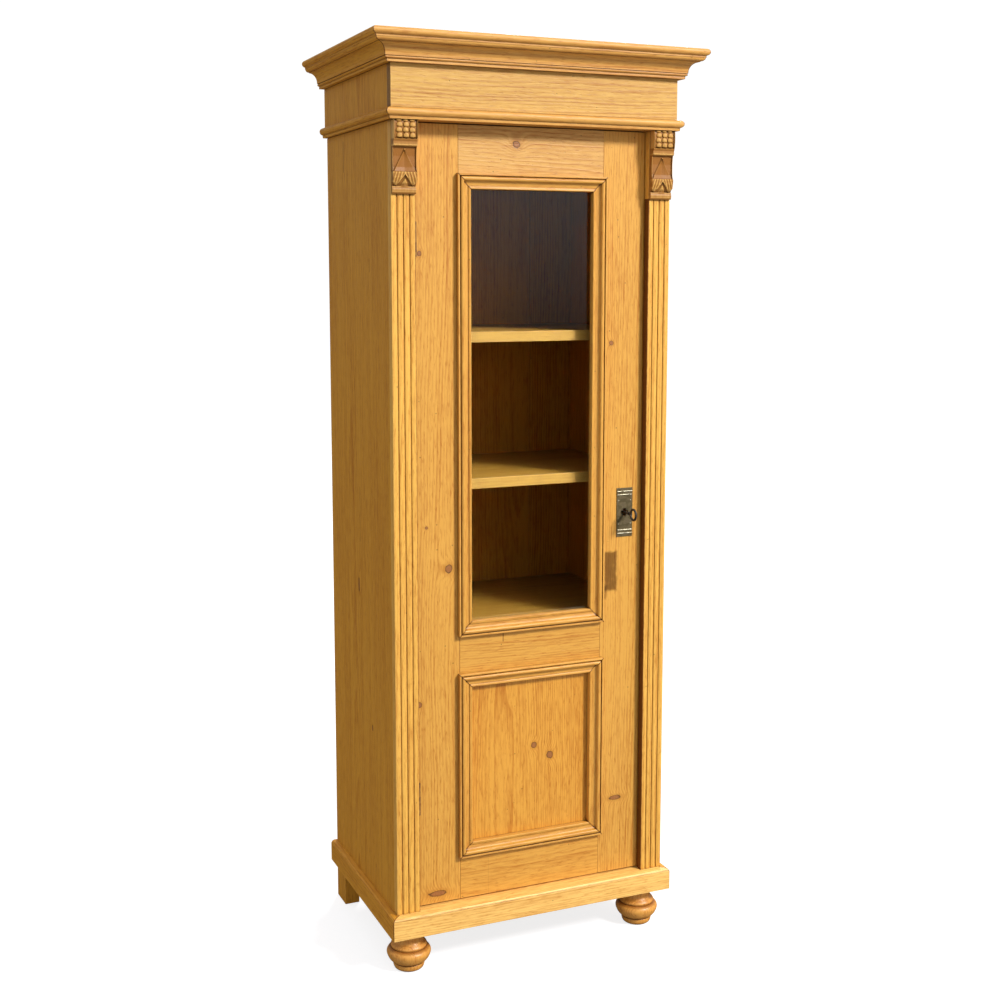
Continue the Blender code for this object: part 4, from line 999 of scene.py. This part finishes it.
class PANTRY_OT_mouldings(bpy.types.Operator):
    """Finish the cornice, the astragal, the reeded pilasters and the turned feet"""

    bl_idname = "pantry.mouldings"
    bl_label = "Mouldings and feet"

    def execute(self, context):
        finish_boards(("cornice_", "astragal_", "pilaster_"))
        for side in ("left", "right"):
            self.turn_foot(side)
        return {"FINISHED"}

    def turn_foot(self, side):
        """One bun foot, turned smooth from its profile."""
        name = f"bun_foot_{side}"
        low, high = (Vector(corner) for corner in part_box(name))
        seed = {"left": 7, "right": 8}[side]
        middle = (low + high) / 2
        widest, tall = max(radius for radius, height in FOOT_PROFILE), FOOT_PROFILE[-1][1]
        fit, rise = (high.x - low.x) / 2 / widest, (high.z - low.z) / tall
        matrix = Matrix.Translation((middle.x, middle.y, low.z))
        profile = [(radius * fit, height * rise) for radius, height in smooth_profile(FOOT_PROFILE, 4)]
        material = pine(name, low, high, "foot", "Z", seed, dirt=HOLLOW_SHADE_AND_DIRT["bun_foot_"], gloss=TONE_GLOSS["foot"])
        foot = new_piece(f"turned_foot_{side}", lambda shape: add_ring_stack(shape, profile, 72, matrix),
                         "case", material, (name,))
        foot.data.shade_smooth()
        foot.data.set_sharp_from_angle(angle=radians(40))


class PANTRY_OT_brackets(bpy.types.Operator):
    """Carve the two brackets over the pilasters"""

    bl_idname = "pantry.brackets"
    bl_label = "Carved brackets"

    def execute(self, context):
        carving = context.scene.pantry_carving
        for side in ("left", "right"):
            piece = new_piece(f"carved_bracket_{side}", lambda shape: carve_bracket(shape, side, carving),
                              "case", carved_pine(side), (f"bracket_{side}",))
            piece.data.shade_smooth()
            piece.data.set_sharp_from_angle(angle=radians(50))
        return {"FINISHED"}


class PANTRY_OT_door(bpy.types.Operator):
    """Finish the door's frame, panel, mouldings and glass, with the beads that hold the pane"""

    bl_idname = "pantry.door"
    bl_label = "Door"

    def execute(self, context):
        finish_boards(("door_stile_", "door_rail_", "door_panel", "glass_moulding_", "panel_moulding_",
                       "glazing_bead_"))
        dress(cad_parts["door_glass"], pane(), 0.0003)
        self.add_beads()
        return {"FINISHED"}

    def add_beads(self):
        """The beads over and under the pane, between the upright ones."""
        left_low, left_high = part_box("glazing_bead_left")
        right_low, right_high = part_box("glazing_bead_right")
        gap, width = 0.3 * MM, left_high.x - left_low.x
        for number, (name, low_z) in enumerate((("glazing_bead_foot", left_low.z),
                                                ("glazing_bead_head", left_high.z - width))):
            low = Vector((left_high.x + gap, left_low.y, low_z))
            high = Vector((right_low.x - gap, left_high.y, low_z + width))
            material = pine(name, low, high, "inside", "X", 60 + number)
            new_piece(name, lambda shape: add_bar(shape, low, high, 0.8 * MM), "door", material)


class PANTRY_OT_lock(bpy.types.Operator):
    """Finish the lock plate, the lock, its bolt and its key, with their screws and strike plate"""

    bl_idname = "pantry.lock"
    bl_label = "Lock and key"

    def execute(self, context):
        hardware = context.scene.pantry_hardware
        bolt_brass = metal("bolt_brass", hardware.rubbed_brass, hardware.brass, 0.25, 0.006)
        case_iron = metal("old_iron_lock", hardware.iron, hardware.rust, 0.42, 0.012)
        key_iron = metal("key_iron", Vector(hardware.iron) * 2.2, hardware.iron, 0.30, 0.004)
        for name, material, rounding in (("lock_plate", plate_brass(), 0.25), ("lock_bolt", bolt_brass, 0.3),
                                         ("lock_case", case_iron, 0.6), ("key", key_iron, 0.2)):
            dress(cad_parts[name], material, rounding * MM)
        low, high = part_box("lock_case")
        screw_iron = metal("screw_iron", Vector(hardware.iron) * 2.5, hardware.rust, 0.35, 0.003)
        radius = hardware.screw_radius

        def case_screws(shape):
            inset = 2.2 * radius
            for number, (x, z) in enumerate((x, z) for x in (low.x + inset, high.x - inset)
                                            for z in (low.z + inset, high.z - inset)):
                add_screw(shape, (x, high.y, z), (0, 1, 0), radius, 0.4 + 0.9 * number)

        new_piece("lock_case_screws", case_screws, "door", screw_iron)
        plate_low, plate_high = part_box("lock_plate")
        middle = (plate_low + plate_high) / 2

        def plate_pins(shape):
            for x in (plate_low.x + 4.5 * MM, plate_high.x - 4.5 * MM):
                for rise in (-26.0 * MM, 26.0 * MM):
                    add_nail(shape, (x, middle.y - 0.05 * MM, middle.z + rise), (0, -1, 0), 1.5 * MM)

        new_piece("lock_plate_pins", plate_pins, "door",
                  metal("pin_brass", hardware.rubbed_brass, hardware.brass, 0.3, 0.002))
        post_low, post_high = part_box("front_post_right")
        bolt_low, bolt_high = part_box("lock_bolt")

        def strike(shape):
            add_bar(shape, (post_low.x + 0.5 * MM, post_high.y - 0.2 * MM, low.z + 6 * MM),
                    (post_low.x + 15 * MM, post_high.y + 1.0 * MM, high.z - 2 * MM), 0.3 * MM)
            for number, z in enumerate((low.z + 12 * MM, high.z - 8 * MM)):
                add_screw(shape, (post_low.x + 8 * MM, post_high.y + 1.0 * MM, z), (0, 1, 0), 0.8 * radius,
                          0.3 + number)

        if bolt_low.y - post_high.y < 2.0 * MM:
            raise RuntimeError("the bolt has no room behind the post for the strike plate")
        new_piece("strike_plate", strike, "case",
                  metal("strike_brass", hardware.brass, Vector(hardware.brass) * 0.5, 0.35, 0.008))
        return {"FINISHED"}


class PANTRY_OT_hinges(bpy.types.Operator):
    """Finish the hinges and drive their screws"""

    bl_idname = "pantry.hinges"
    bl_label = "Hinges"

    def execute(self, context):
        hardware = context.scene.pantry_hardware
        iron = metal("old_iron_hinge", hardware.hinge, hardware.rust, 0.42, 0.010, 0.5)
        bright = metal("hinge_screw_iron", Vector(hardware.iron) * 2.5, hardware.rust, 0.35, 0.003)
        for level in ("lower", "upper"):
            for leaf, body, facing in (("door_leaf", "door", -1), ("post_leaf", "case", 1)):
                name = f"hinge_{level}_{leaf}"
                dress(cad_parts[name], iron, 0.2 * MM)
                self.add_screws(name, body, facing, bright, hardware.screw_radius)
        return {"FINISHED"}

    def add_screws(self, name, body, facing, material, radius):
        """Three flush screws in one leaf, on the face that shows when the door is open."""
        low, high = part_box(name)
        door_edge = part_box("door_stile_hinge")[0].x
        post_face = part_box("front_post_left")[1].x
        face = door_edge if facing < 0 else post_face
        rise = 0.05 * MM

        def screws(shape):
            for number in (-1, 0, 1):
                centre = (face + facing * rise, high.y - 7.5 * MM, (low.z + high.z) / 2 + number * 24 * MM)
                add_screw(shape, centre, (facing, 0, 0), radius, 0.5 + number)

        new_piece(f"{name}_screws", screws, body, material)


class PANTRY_OT_nails(bpy.types.Operator):
    """Nail the back boards to the case and the shelves"""

    bl_idname = "pantry.nails"
    bl_label = "Nails in the back"

    def execute(self, context):
        hardware = context.scene.pantry_hardware
        levels = [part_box("floor_board"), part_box("case_top_board")]
        levels += [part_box(f"shelf_{level}") for level in ("lower", "middle", "upper")]
        heights = [(low.z + high.z) / 2 for low, high in levels]
        rusty = metal("nail_iron", hardware.iron, hardware.rust, 0.5, 0.004, 0.6)
        draw = Random(11)
        for part in ("left", "middle", "right"):
            low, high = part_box(f"back_board_{part}")
            edge = 16 * MM
            spots = [(x, z) for z in heights for x in (low.x + edge, high.x - edge)]
            outer = {"left": low.x + 6 * MM, "right": high.x - 6 * MM}.get(part)
            if outer is not None:
                spots += [(outer, low.z + (high.z - low.z) * (k + 0.5) / 7) for k in range(7)]

            def nails(shape):
                for x, z in spots:
                    add_nail(shape, (x + draw.uniform(-2, 2) * MM, CASE_BACK, z + draw.uniform(-2, 2) * MM),
                             (0, 1, 0), hardware.nail_radius)

            new_piece(f"back_nails_{part}", nails, "case", rusty)
        return {"FINISHED"}


def seen_directly(n):
    """Masks for what is seen straight or through the clear pane, and for what is seen by reflection."""
    path = n.add("ShaderNodeLightPath").outputs
    mirrored = n.math("GREATER_THAN", path["Glossy Depth"], 0.5)
    bounced = n.math("GREATER_THAN", n.math("ADD", path["Glossy Depth"], path["Diffuse Depth"]), 0.5)
    through = n.math("MULTIPLY", path["Is Transmission Ray"], n.math("SUBTRACT", 1.0, bounced))
    return n.math("MAXIMUM", path["Is Camera Ray"], through), mirrored


class PANTRY_OT_studio(bpy.types.Operator):
    """Set up the camera, the pale floor and the soft lights"""

    bl_idname = "pantry.studio"
    bl_label = "Studio"

    def execute(self, context):
        studio = context.scene.pantry_studio
        self.add_camera(context.scene, studio)
        self.add_floor(studio)
        self.add_light("key_light", studio, studio.key_turn, studio.key_power)
        self.add_light("rear_light", studio, studio.rear_turn, studio.rear_power)
        self.add_sky(context.scene, studio)
        context.scene.view_settings.view_transform = "Standard"
        return {"FINISHED"}

    def add_camera(self, scene, studio):
        """The camera, in front of the cabinet's left corner."""
        camera = bpy.data.cameras.new("camera")
        camera.lens = studio.lens
        camera.sensor_width = 36.0
        camera.shift_y = studio.camera_shift
        holder = bpy.data.objects.new("camera", camera)
        scene.collection.objects.link(holder)
        holder.location = studio.camera_place
        holder.rotation_euler = (pi / 2 - studio.camera_down, 0.0, -studio.camera_turn)
        scene.camera = holder

    def add_floor(self, studio):
        """A wide pale floor that shows soft shadows, and that the gloss of the cabinet mirrors as dark."""
        bpy.ops.mesh.primitive_plane_add(size=60.0, location=(0.0, 0.0, -0.2 * MM))
        floor = bpy.context.object
        floor.name = "studio_floor"
        material = bpy.data.materials.new("studio_floor")
        material.use_nodes = True
        material.node_tree.nodes.clear()
        n = Nodes(material.node_tree)
        seen, mirrored = seen_directly(n)
        shown = n.mix(mirrored, studio.floor_shade, (0.0, 0.0, 0.0))
        dim = n.add("ShaderNodeBsdfDiffuse", {"Color": shown})
        glow = n.add("ShaderNodeEmission", {"Color": (1.0, 1.0, 1.0), "Strength": studio.floor_glow})
        lit = n.add("ShaderNodeAddShader", {0: dim.outputs[0], 1: glow.outputs[0]})
        both = n.add("ShaderNodeMixShader", {0: seen, 1: dim.outputs[0], 2: lit.outputs[0]})
        output = n.add("ShaderNodeOutputMaterial")
        n.feed(output.inputs["Surface"], both.outputs[0])
        floor.data.materials.append(material)

    def add_light(self, name, studio, turn, power):
        """A square light that looks at the middle of the cabinet, turned to the right of the door."""
        light = bpy.data.lights.new(name, "AREA")
        light.energy = power
        light.size = studio.key_size
        light.color = (1.0, 0.985, 0.96)
        lamp = bpy.data.objects.new(name, light)
        bpy.context.scene.collection.objects.link(lamp)
        middle = (CAD_BOX[0] + CAD_BOX[1]) / 2
        flat = cos(studio.key_height)
        away = Vector((sin(turn) * flat, -cos(turn) * flat, sin(studio.key_height)))
        lamp.location = middle + away * studio.key_distance
        lamp.rotation_euler = away.to_track_quat("Z", "Y").to_euler()

    def add_sky(self, scene, studio):
        """A white background whose light fades below the horizon, and towards the left in reflections."""
        world = bpy.data.worlds.new("studio_sky")
        world.use_nodes = True
        world.node_tree.nodes.clear()
        n = Nodes(world.node_tree)
        seen, mirrored = seen_directly(n)
        toward = n.split(n.add("ShaderNodeTexCoord").outputs["Generated"])
        above = n.smooth(toward[2], -0.12, 0.12)
        sheen = n.math("MULTIPLY_ADD", n.smooth(toward[0], -0.5, 0.1), 0.55, 0.15)
        kept = n.math("SUBTRACT", 1.0, n.math("MULTIPLY", mirrored, n.math("SUBTRACT", 1.0, sheen)))
        tint = n.mix(mirrored, studio.sky, studio.mirrored_sky)
        sky = n.mix(n.math("MULTIPLY", above, kept), (0.0, 0.0, 0.0), tint)
        light = n.add("ShaderNodeBackground", {"Color": sky, "Strength": 1.0})
        white = n.add("ShaderNodeBackground", {"Color": (1.0, 1.0, 1.0), "Strength": 1.05})
        both = n.add("ShaderNodeMixShader", {0: seen, 1: light.outputs[0], 2: white.outputs[0]})
        output = n.add("ShaderNodeOutputWorld")
        n.feed(output.inputs["Surface"], both.outputs[0])
        scene.world = world


class PANTRY_PT_panel(bpy.types.Panel):
    """Lists the steps and their settings"""

    bl_idname = "PANTRY_PT_panel"
    bl_label = "Pine Pantry Cabinet"
    bl_space_type = "VIEW_3D"
    bl_region_type = "UI"
    bl_category = "Pantry"

    def draw(self, context):
        for step in STEPS:
            self.layout.operator(step.bl_idname)
        for group in SETTINGS:
            box = self.layout.box()
            for name in SETTINGS[group].__annotations__:
                box.prop(getattr(context.scene, group), name)


STEPS = (PANTRY_OT_effects, PANTRY_OT_case, PANTRY_OT_mouldings, PANTRY_OT_brackets, PANTRY_OT_door,
         PANTRY_OT_lock, PANTRY_OT_hinges, PANTRY_OT_nails, PANTRY_OT_studio)
SETTINGS = {"pantry_timber": PantryTimber, "pantry_carving": PantryCarving,
            "pantry_hardware": PantryHardware, "pantry_studio": PantryStudio}


def register():
    """Registers the settings, the operators and the panel."""
    for kind in (*SETTINGS.values(), *STEPS, PANTRY_PT_panel):
        bpy.utils.register_class(kind)
    for name, kind in SETTINGS.items():
        setattr(bpy.types.Scene, name, bpy.props.PointerProperty(type=kind))


def unregister():
    """Takes them all away again."""
    for name in SETTINGS:
        delattr(bpy.types.Scene, name)
    for kind in reversed((*SETTINGS.values(), *STEPS, PANTRY_PT_panel)):
        bpy.utils.unregister_class(kind)


def main():
    """Runs every step."""
    register()
    bpy.ops.pantry.effects()
    bpy.ops.pantry.case()
    bpy.ops.pantry.mouldings()
    bpy.ops.pantry.brackets()
    bpy.ops.pantry.door()
    bpy.ops.pantry.lock()
    bpy.ops.pantry.hinges()
    bpy.ops.pantry.nails()
    bpy.ops.pantry.studio()


if __name__ == "__main__":
    main()
